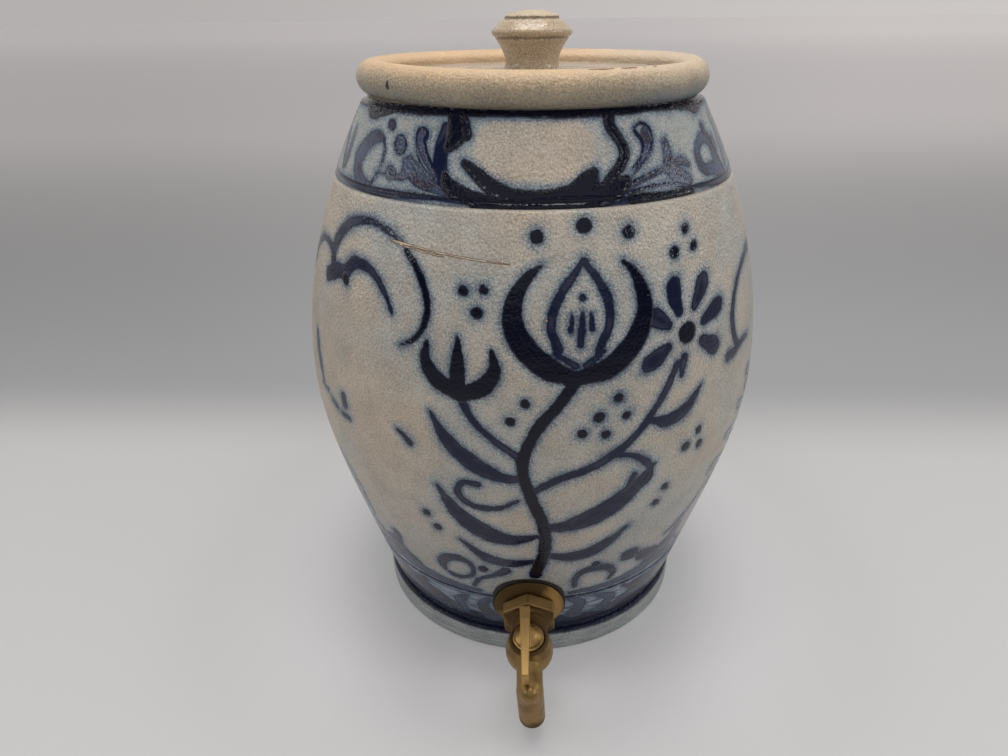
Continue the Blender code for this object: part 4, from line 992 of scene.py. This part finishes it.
brass_wear, (place, tarnish_and_shade, dark, dull, bright), leave = group(
    "brass_wear",
    [("Place", "Vector", None), ("Tarnish", "Float", 0.5)] + [(kind, "Color", None) for kind in ("Dark", "Dull", "Bright")],
    [("Colour", "Color"), ("Roughness", "Float"), ("Height", "Float")],
)
point = Signal(add(brass_wear, "NewGeometry").outputs["Pointiness"])
blots = place.noise(9.0, 2.0, 0.5)
grain = place.noise(0.30, 3.0, 0.6)
edge_wear = (point + blots * 0.04).ramp(0.565, 0.66)
# Dark in hollows and blots, and where the tarnish input is high, which also carries painted shade
stain_and_shade = point.ramp(0.475, 0.40).larger((blots + tarnish_and_shade).ramp(0.78, 1.25))
give_out(leave, Colour=stain_and_shade.blend((edge_wear * 0.5).blend(dull, bright), dark),
         Roughness=stain_and_shade * 0.22 + grain.ramp(0.3, 0.7, 0.38, 0.48), Height=grain)


def brass(name, tarnish_and_shade, dull=BRASS_DULL):
    """Brass, dark in its hollows and blots and where its kept stain and painted shade lie, and bright on its worn
    edges.
    """
    made, place = new_material(name)
    stain_and_shade = mark(made, "soil_and_shade") * 0.75 + tarnish_and_shade
    colours = {"Dark": (*BRASS_DARK, 1.0), "Dull": (*dull, 1.0), "Bright": (*BRASS_BRIGHT, 1.0)}
    colour, rough, height = use_group(made, brass_wear, Place=place, Tarnish=stain_and_shade, **colours)
    return finish_material(made, colour, rough, height, 0.25, 0.0001, Metallic=1.0)


tap = Matrix.Translation((0.0, -float(wall_radius(TAP_HEIGHT)), TAP_HEIGHT)) @ Matrix.Rotation(TAP_YAW, 4, "Z")
tap = tap @ Matrix.Rotation(TAP_DROOP, 4, "X") @ Matrix.Rotation(-TAP_ROLL, 4, "Y")
axis = tap @ Matrix.Rotation(math.pi / 2, 4, "X")


def along_tap(obj):
    """Where the piece's vertices lie along the tap: aside, outwards and up."""
    back = np.array(tap.inverted())
    local = vertex_places(obj) @ back[:3, :3].T + back[:3, 3]
    return local[:, 0], -local[:, 1], local[:, 2]


def soil_and_shade(obj, amount):
    """Keep on the piece how much stain and painted shade each place has, from where it lies along the tap."""
    keep_values(obj, "soil_and_shade", np.clip(amount(*along_tap(obj)), 0.0, 1.0))


seat = COLLAR_ACROSS_FLATS / 2
rise = FLANGE_SEAT - FLANGE_BACK - FLANGE_EDGE
dome = [(seat + (FLANGE_RADIUS - 0.0003 - seat) * s, FLANGE_SEAT - rise * s**2) for s in np.linspace(0, 1, 14)]
profile = finer([(FIT_RADIUS, FLANGE_SEAT), (seat - 0.0002, FLANGE_SEAT)], 0.0008) + dome
profile += [(FLANGE_RADIUS, FLANGE_BACK + FLANGE_EDGE - 0.0003), (FLANGE_RADIUS, FLANGE_BACK + 0.0003)]
profile += [(FLANGE_RADIUS - 0.0003, FLANGE_BACK), (0.0120, FLANGE_BACK), (FIT_RADIUS, FLANGE_BACK)]
flange = turned_mesh("domed_flange", profile, column_turns(FLANGE_COLUMNS, 0.0))
flange.data.transform(axis)
# Painted shade and painted reflection: the flange kept darker toward its top and its left
soil_and_shade(flange, lambda aside, out, up: 0.75 * smooth_step(up - 0.6 * aside, 0.004, 0.013))
flange.data.materials.append(brass("flange_brass", 0.46, FLANGE_DULL))
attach(flange, "pot")
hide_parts("tap_flange")

# The tap's casting: hexagon, neck, barrel, spout and threaded shank, sand cast in brass in one piece
# and turned where it seats. It is cast with soft corners, so the joined solid is smoothed as a whole.
COLLAR_BACK = 0.00656
COLLAR_FRONT = 0.01286
COLLAR_CORNER = COLLAR_ACROSS_FLATS / 2 / math.cos(math.pi / 6)
SHOULDER = 0.01506
SHOULDER_RADIUS = 0.0100
TAP_NECK_RADIUS = 0.0085
BARREL = 0.02766
BARREL_RADIUS = 0.0109
BARREL_HALF_HEIGHT = 0.0095
BARREL_ROUND = 0.0006
BARREL_LIP = 0.0014
KEY_TOP_RADIUS = 0.0071
KEY_BOTTOM_RADIUS = 0.0053
SEAT_GAP = 0.0003
SHANK_RADIUS = 0.0080
TAIL = -0.02307
SPOUT = 0.04726
SPOUT_DROP = 0.0230
SPOUT_RADIUS = 0.0061
SPOUT_ARM_RADIUS = 0.0059
SPOUT_BORE_RADIUS = 0.0042
WATERWAY_RADIUS = 0.0039
KNUCKLE_RADIUS = 0.0043
KNUCKLE_REACH = 0.0030
KNUCKLE_RISE = 0.0020
CUTTER_REACH = 0.004
SOLID_COLUMNS = 64
CAST_VOXEL = 0.00034
CAST_DULL = (0.296, 0.188, 0.074)


def solid(name, profile, matrix):
    """A turned solid, closed with a flat end where its profile doesn't start or end on the axis."""
    if profile[0][0] > 0.0:
        profile = [(0.0, profile[0][1])] + profile
    if profile[-1][0] > 0.0:
        profile = profile + [(0.0, profile[-1][1])]
    obj = turned_mesh(name, profile, column_turns(SOLID_COLUMNS, 0.0))
    obj.data.transform(matrix)
    return obj


def combine(obj, other, operation):
    step = obj.modifiers.new(other.name, "BOOLEAN")
    step.solver = "EXACT"
    step.operation = operation
    step.object = other


def soften(obj, iterations, beyond=None):
    """Ease the surface, all over or only further out along the tap than this."""
    step = obj.modifiers.new("soften", "SMOOTH")
    step.factor = 0.5
    step.iterations = iterations
    if beyond is not None:
        shares = np.round(10 * smooth_step(along_tap(obj)[1], beyond - 0.003, beyond + 0.003))
        outer = obj.vertex_groups.new(name="outer")
        for tenths in range(1, 11):
            outer.add(np.flatnonzero(shares == tenths).tolist(), tenths / 10, "REPLACE")
        step.vertex_group = "outer"
    keep_modifiers(obj)


def settle(obj, tools, voxel, smoothing):
    """Join the modifiers into the mesh, give it cast corners, and drop the tools."""
    keep_modifiers(obj)
    for tool in tools:
        bpy.data.objects.remove(tool)
    remesh = obj.modifiers.new("cast", "REMESH")
    remesh.mode = "VOXEL"
    remesh.voxel_size = voxel
    keep_modifiers(obj)
    soften(obj, smoothing)
    obj.data.shade_smooth()


barrel_place = tap @ Matrix.Translation((0.0, -BARREL, 0.0))
spout_place = tap @ Matrix.Translation((0.0, -SPOUT, 0.0))
middle = (COLLAR_BACK + COLLAR_FRONT) / 2
profile = [(TAP_NECK_RADIUS, BARREL), (TAP_NECK_RADIUS, SHOULDER), (SHOULDER_RADIUS, (COLLAR_FRONT + SHOULDER) / 2)]
profile += [(SHOULDER_RADIUS, middle), (SHANK_RADIUS, middle), (SHANK_RADIUS, TAIL + 0.0008), (SHANK_RADIUS - 0.0008, TAIL)]
casting = solid("tap_casting", profile, axis)

shape = bmesh.new()
size = {"radius1": COLLAR_CORNER, "radius2": COLLAR_CORNER, "depth": COLLAR_FRONT - COLLAR_BACK}
bmesh.ops.create_cone(shape, cap_ends=True, segments=6, **size)
bmesh.ops.translate(shape, verts=shape.verts, vec=(0.0, 0.0, middle))
mesh = bpy.data.meshes.new("collar_hexagon")
shape.to_mesh(mesh)
shape.free()
mesh.transform(axis)
hexagon = new_object("collar_hexagon", mesh)
profile = [(COLLAR_CORNER - 0.0008, COLLAR_FRONT), (COLLAR_CORNER + 0.0004, COLLAR_FRONT - 0.0008)]
profile += [(COLLAR_CORNER + 0.0004, COLLAR_BACK + 0.0008), (COLLAR_CORNER - 0.0008, COLLAR_BACK)]
turning = solid("collar_turning", profile, axis)
combine(hexagon, turning, "INTERSECT")
combine(casting, hexagon, "UNION")

top = KEY_TOP_RADIUS + SEAT_GAP + BARREL_LIP
bottom = KEY_BOTTOM_RADIUS + SEAT_GAP + BARREL_LIP
half = BARREL_HALF_HEIGHT - BARREL_ROUND
barrel = [(top - BARREL_ROUND, BARREL_HALF_HEIGHT)]
for share in np.linspace(0, 1, 24):
    end = top + (bottom - top) * share
    barrel.append((end + (BARREL_RADIUS - end) * math.sin(math.pi * share), half - 2 * half * share))
barrel += [(bottom - BARREL_ROUND, -BARREL_HALF_HEIGHT)]
spout = [(0.0, SPOUT_RADIUS)] + arc((0.0, 0.0), SPOUT_RADIUS, 84, 0, 12)
spout += [(SPOUT_RADIUS, 0.0004 - SPOUT_DROP), (SPOUT_RADIUS - 0.0004, -SPOUT_DROP)]
knuckle = [(0.0, KNUCKLE_RADIUS)] + arc((0.0, 0.0), KNUCKLE_RADIUS, 80, -80, 15) + [(0.0, -KNUCKLE_RADIUS)]
slope = (KEY_TOP_RADIUS - KEY_BOTTOM_RADIUS) / (2 * BARREL_HALF_HEIGHT) * CUTTER_REACH
deep = BARREL_HALF_HEIGHT + CUTTER_REACH
socket = [(KEY_TOP_RADIUS + SEAT_GAP + slope, deep), (KEY_BOTTOM_RADIUS + SEAT_GAP - slope, -deep)]
waterway = [(WATERWAY_RADIUS, SPOUT + WATERWAY_RADIUS / 3), (WATERWAY_RADIUS, TAIL - CUTTER_REACH)]
bore = [(SPOUT_BORE_RADIUS, WATERWAY_RADIUS / 2), (SPOUT_BORE_RADIUS, -SPOUT_DROP - CUTTER_REACH)]
tools = [hexagon, turning]
for name, profile, place, operation in (
    ("barrel", barrel, barrel_place, "UNION"),
    ("arm", [(SPOUT_ARM_RADIUS, SPOUT), (SPOUT_ARM_RADIUS, BARREL)], axis, "UNION"),
    ("spout", spout, spout_place, "UNION"),
    ("knuckle", knuckle, spout_place @ Matrix.Translation((0.0, -KNUCKLE_REACH, KNUCKLE_RISE)), "UNION"),
    ("socket", socket, barrel_place @ Matrix.Rotation(math.pi / SOLID_COLUMNS, 4, "Z"), "DIFFERENCE"),
    ("waterway", waterway, axis, "DIFFERENCE"),
    ("bore", bore, spout_place, "DIFFERENCE"),
):
    tools.append(solid(name, profile, place))
    combine(casting, tools[-1], operation)
settle(casting, tools, CAST_VOXEL, 7)
soften(casting, 70, BARREL + 0.0130)


def casting_shade(aside, out, up):
    """Painted shade: darker in a ring at the gap round the plug, in the neck behind the barrel where the lever's
    shadow falls, and down the spout toward its mouth.
    """
    round_plug = np.hypot(aside, out - BARREL)
    ring = smooth_step(up, 0.0060, 0.0090) * smooth_step(round_plug, 0.0096, 0.0084)
    neck = smooth_step(out, COLLAR_FRONT - 0.0008, COLLAR_FRONT + 0.0004)
    neck = neck * smooth_step(out, BARREL - 0.004, BARREL - 0.010)
    mouth = smooth_step(up, -0.0150, -0.0215)
    return np.maximum(np.maximum(0.6 * ring, 0.40 * neck), 0.5 * mouth)


soil_and_shade(casting, casting_shade)
casting.data.materials.append(brass("cast_brass_finish", 0.34, CAST_DULL))
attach(casting, "pot")
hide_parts("tap_body")

# The thread on the tail of the shank, which the lock nut runs on inside the pot. Cut with a die, in the
# same brass as the casting.
THREAD_PITCH = 0.0014
THREAD_DEPTH = 0.00042
THREAD_LENGTH = 0.0026

sizes = [("Radius", "Float"), ("Length", "Float"), ("Turns", "Float"), ("Depth", "Float")]
thread_tree, sizes = geometry_tree("thread", sizes)
values = [("Resolution", 72), ("Rotations", sizes["Turns"]), ("Start Radius", sizes["Radius"])]
values += [("End Radius", sizes["Radius"]), ("Height", sizes["Length"])]
helix = add(thread_tree, "GeometryNodeCurveSpiral", values).outputs["Curve"]
ridge = add(thread_tree, "GeometryNodeCurvePrimitiveCircle", [("Resolution", 6), ("Radius", sizes["Depth"])])
values = [("Curve", helix), ("Profile Curve", ridge.outputs["Curve"]), ("Fill Caps", True)]
cut = add(thread_tree, "GeometryNodeCurveToMesh", values)
finish_tree(thread_tree, cut.outputs["Mesh"], casting.data.materials[0])

thread = new_object("shank_thread", bpy.data.meshes.new("shank_thread"))
turns = THREAD_LENGTH / THREAD_PITCH
grow(thread, thread_tree, Radius=SHANK_RADIUS, Length=THREAD_LENGTH, Turns=turns, Depth=THREAD_DEPTH)
thread.data.transform(axis @ Matrix.Translation((0.0, 0.0, TAIL + 0.0006)))
thread.data.shade_smooth()
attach(thread, "pot")

# The key: a tapered plug ground into the barrel, with its neck and thumb lever cast on. Brass, polished
# by fingers along the lever.
KEY_PROUD = 0.0004
KEY_NECK_RADIUS = 0.0036
KEY_STEP_RADIUS = 0.0061
KEY_VOXEL = 0.00024
LEVER_RISE = 0.0050
LEVER_THICKNESS = 0.0048
LEVER_TIP_THICKNESS = 0.0030
LEVER_FRONT = 0.0219
LEVER_OFFSET = 0.0013
LEVER_DEPTH = 0.0036
LEVER_ROUND = 0.0006
PORT_RADIUS = 0.0036
PORT_REACH = 0.0142

plug_top = BARREL_HALF_HEIGHT + KEY_PROUD
lever_top = plug_top + LEVER_RISE
lever_low = lever_top - LEVER_DEPTH
profile = [(KEY_NECK_RADIUS, lever_top - LEVER_DEPTH / 2), (KEY_NECK_RADIUS, plug_top + 0.0030)]
profile += [(KEY_STEP_RADIUS, plug_top + 0.0015), (KEY_STEP_RADIUS, plug_top), (KEY_TOP_RADIUS, plug_top)]
profile += [(KEY_TOP_RADIUS, BARREL_HALF_HEIGHT), (KEY_BOTTOM_RADIUS, -BARREL_HALF_HEIGHT), (KEY_BOTTOM_RADIUS, -plug_top)]
key = solid("key_and_lever", profile, barrel_place)

back = BARREL - COLLAR_FRONT - 0.0012
tip_low = SPOUT_RADIUS + 0.0010
tip_back = 0.0042 - LEVER_FRONT
outline = [(back - LEVER_ROUND, lever_top), (back, lever_top - LEVER_ROUND), (back, lever_low)]
outline += arc((tip_back + lever_low - tip_low, tip_low), lever_low - tip_low, 90, 180, 8)
outline += [(LEVER_ROUND - LEVER_FRONT, tip_low), (-LEVER_FRONT, tip_low + LEVER_ROUND)]
outline += [(-LEVER_FRONT, lever_top - LEVER_ROUND), (LEVER_ROUND - LEVER_FRONT, lever_top)]
points = []
for side in (-1, 1):
    for y, z in outline:
        share = (back - y) / (back + LEVER_FRONT)
        thick = LEVER_THICKNESS / 2 * (1.0 + share * (LEVER_TIP_THICKNESS / LEVER_THICKNESS - 1.0))
        points.append((side * thick - LEVER_OFFSET, y, z))
count = len(outline)
faces = [tuple(range(count)), tuple(range(2 * count - 1, count - 1, -1))]
faces += [((i + 1) % count, i, i + count, (i + 1) % count + count) for i in range(count)]
mesh = bpy.data.meshes.new("lever")
mesh.from_pydata(points, [], faces)
shape = bmesh.new()
shape.from_mesh(mesh)
bmesh.ops.recalc_face_normals(shape, faces=shape.faces)
shape.to_mesh(mesh)
shape.free()
mesh.transform(barrel_place)
lever = new_object("lever", mesh)
combine(key, lever, "UNION")
port = [(PORT_RADIUS, PORT_REACH), (PORT_RADIUS, -PORT_REACH)]
port = solid("port", port, barrel_place @ Matrix.Rotation(math.pi / 2, 4, "Y"))
combine(key, port, "DIFFERENCE")
settle(key, [lever, port], KEY_VOXEL, 2)


def key_stain_and_shade(aside, out, up):
    """The plug's top is darker beside the lever and under it, partly tarnish and partly painted shade."""
    low = smooth_step(up, plug_top + 0.0042, plug_top + 0.0033) * (np.hypot(aside, out - BARREL) < 0.0085)
    return 0.30 * low * np.maximum(smooth_step(abs(aside + LEVER_OFFSET), 0.0021, 0.0026), up < plug_top)


soil_and_shade(key, key_stain_and_shade)
key.data.materials.append(brass("key_brass_finish", 0.24))
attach(key, "key")
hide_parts("tap_key")

# The washer and slotted screw under the barrel, and the rings and lock nut inside the pot. Small turned
# brass parts that hold the key down and the tap to the wall.
dress(("key_washer", "key_screw", "inner_washer", "lock_nut"), brass("small_brass", 0.40))

# The table under the pot, the light and the camera. A pale table in a soft white light tent.
TABLE_ROUGHNESS = 0.42
FLOOR_FOOT_LIGHT = (0.800, 0.790, 0.800)
FLOOR_NEAR = (0.565, 0.557, 0.551)
FLOOR_FAR = (0.350, 0.349, 0.352)
FLOOR_END = (0.720, 0.692, 0.682)
FLOOR_EDGE = (0.930, 0.880, 0.870)
FLOOR_LEFT_SHADE = (0.880, 0.880, 0.880)
FLOOR_RIGHT_LIGHT = (1.250, 1.230, 1.230)
TENT_LIGHT = (0.52, 0.51, 0.51)
TENT_MOUTH = (0.08, 0.08, 0.08)
TENT_WALL = (0.60, 0.59, 0.58)
TENT_LEFT = (0.455, 0.432, 0.427)
TENT_RIGHT = (0.60, 0.57, 0.56)


def table_top():
    """Pale round the pot, greyer behind it and pale again toward the tent's wall, with painted light round the
    pot's foot, painted shade to the left and painted light to the right.
    """
    made, place = new_material("table_top")
    across, along, _ = place.parts()
    colour = along.ramp(0.10, 0.24).blend(FLOOR_NEAR, FLOOR_FAR)
    reach = place.then("VectorMath", [(0, place)], "Value", operation="LENGTH")
    # Painted light: the table painted brighter round the pot's foot, against its contact shadow
    colour = reach.ramp(0.200, 0.075).blend(colour, FLOOR_FOOT_LIGHT)
    colour = along.ramp(0.45, 1.90).blend(colour, FLOOR_END)
    colour = along.ramp(1.80, 12.0).blend(colour, FLOOR_EDGE)
    # Painted shade on the left of the table and painted light on its right, far off
    aside = across / (along + 0.4)
    left = aside.ramp(-0.10, -0.55) * along.ramp(0.10, 0.40)
    colour = left.blend(colour, FLOOR_LEFT_SHADE, "MULTIPLY")
    right = aside.ramp(0.0, 0.45) * along.ramp(0.80, 2.50)
    colour = right.blend(colour, FLOOR_RIGHT_LIGHT, "MULTIPLY")
    return finish_material(made, colour, TABLE_ROUGHNESS, place.noise(0.8), 0.1, 0.0001)


mesh = bpy.data.meshes.new("table")
mesh.from_pydata([(-20, -20, 0), (20, -20, 0), (20, 40, 0), (-20, 40, 0)], [], [(0, 1, 2, 3)])
table = new_object("table", mesh)
table.data.materials.append(table_top())

# Each lamp as its name, place, height of its target, size and power
for name, place, height, size, power in (
    ("tent_top", (0.0, 0.05, 0.95), 0.10, (0.56, 0.40), 2.0),
    ("tent_front", (0.05, -0.9, 0.75), 0.12, (1.8, 0.90), 2.2),
    ("roof_light_back", (0.0, 0.09, 0.83), 0.24, (0.40, 0.05), 0.62),
    ("roof_light_front", (0.0, -0.16, 0.75), 0.24, (0.36, 0.025), 0.50),
    ("tent_left", (-0.8, -0.2, 0.50), 0.12, (0.6, 0.12), 1.0),
    ("tent_right", (0.8, -0.2, 0.50), 0.12, (0.6, 0.12), 1.4),
):
    light = bpy.data.lights.new(name, "AREA")
    light.shape = "RECTANGLE"
    light.size, light.size_y = size
    light.energy = power
    aim = Vector((0.0, 0.0, height)) - Vector(place)
    lamp = new_object(name, light)
    lamp.matrix_world = Matrix.Translation(place) @ aim.to_track_quat("-Z", "Y").to_matrix().to_4x4()

world = bpy.data.worlds.new("tent")
world.use_nodes = True
bpy.context.scene.world = world
tree = world.node_tree
rays = add(tree, "LightPath").outputs
aim_x, aim_y, _ = Signal(add(tree, "TexCoord").outputs["Generated"]).parts()
mirrored = aim_y.ramp(-0.35, 0.55).blend(TENT_MOUTH, TENT_WALL)
seen = Signal(rays["Is Glossy Ray"]).blend(TENT_LIGHT, mirrored)
backdrop = (aim_x / aim_y).ramp(-0.55, 0.55).blend(TENT_LEFT, TENT_RIGHT)
seen = Signal(rays["Is Camera Ray"]).blend(seen, backdrop)
tree.links.new(seen.socket, tree.nodes["Background"].inputs["Color"])

EYE = (0.0, -0.376, 0.2989)
PITCH = math.radians(25.78)
YAW = math.radians(2.19)
ROLL = math.radians(-0.63)
camera = new_object("camera", bpy.data.cameras.new("camera"))
camera.data.sensor_width = 36.0
camera.data.lens = 27.04
camera.data.clip_end = 100.0
facing = Matrix.Rotation(YAW, 4, "Z") @ Matrix.Rotation(math.pi / 2 - PITCH, 4, "X") @ Matrix.Rotation(ROLL, 4, "Z")
camera.matrix_world = Matrix.Translation(EYE) @ facing
bpy.context.scene.camera = camera
bpy.context.scene.view_settings.view_transform = "Standard"
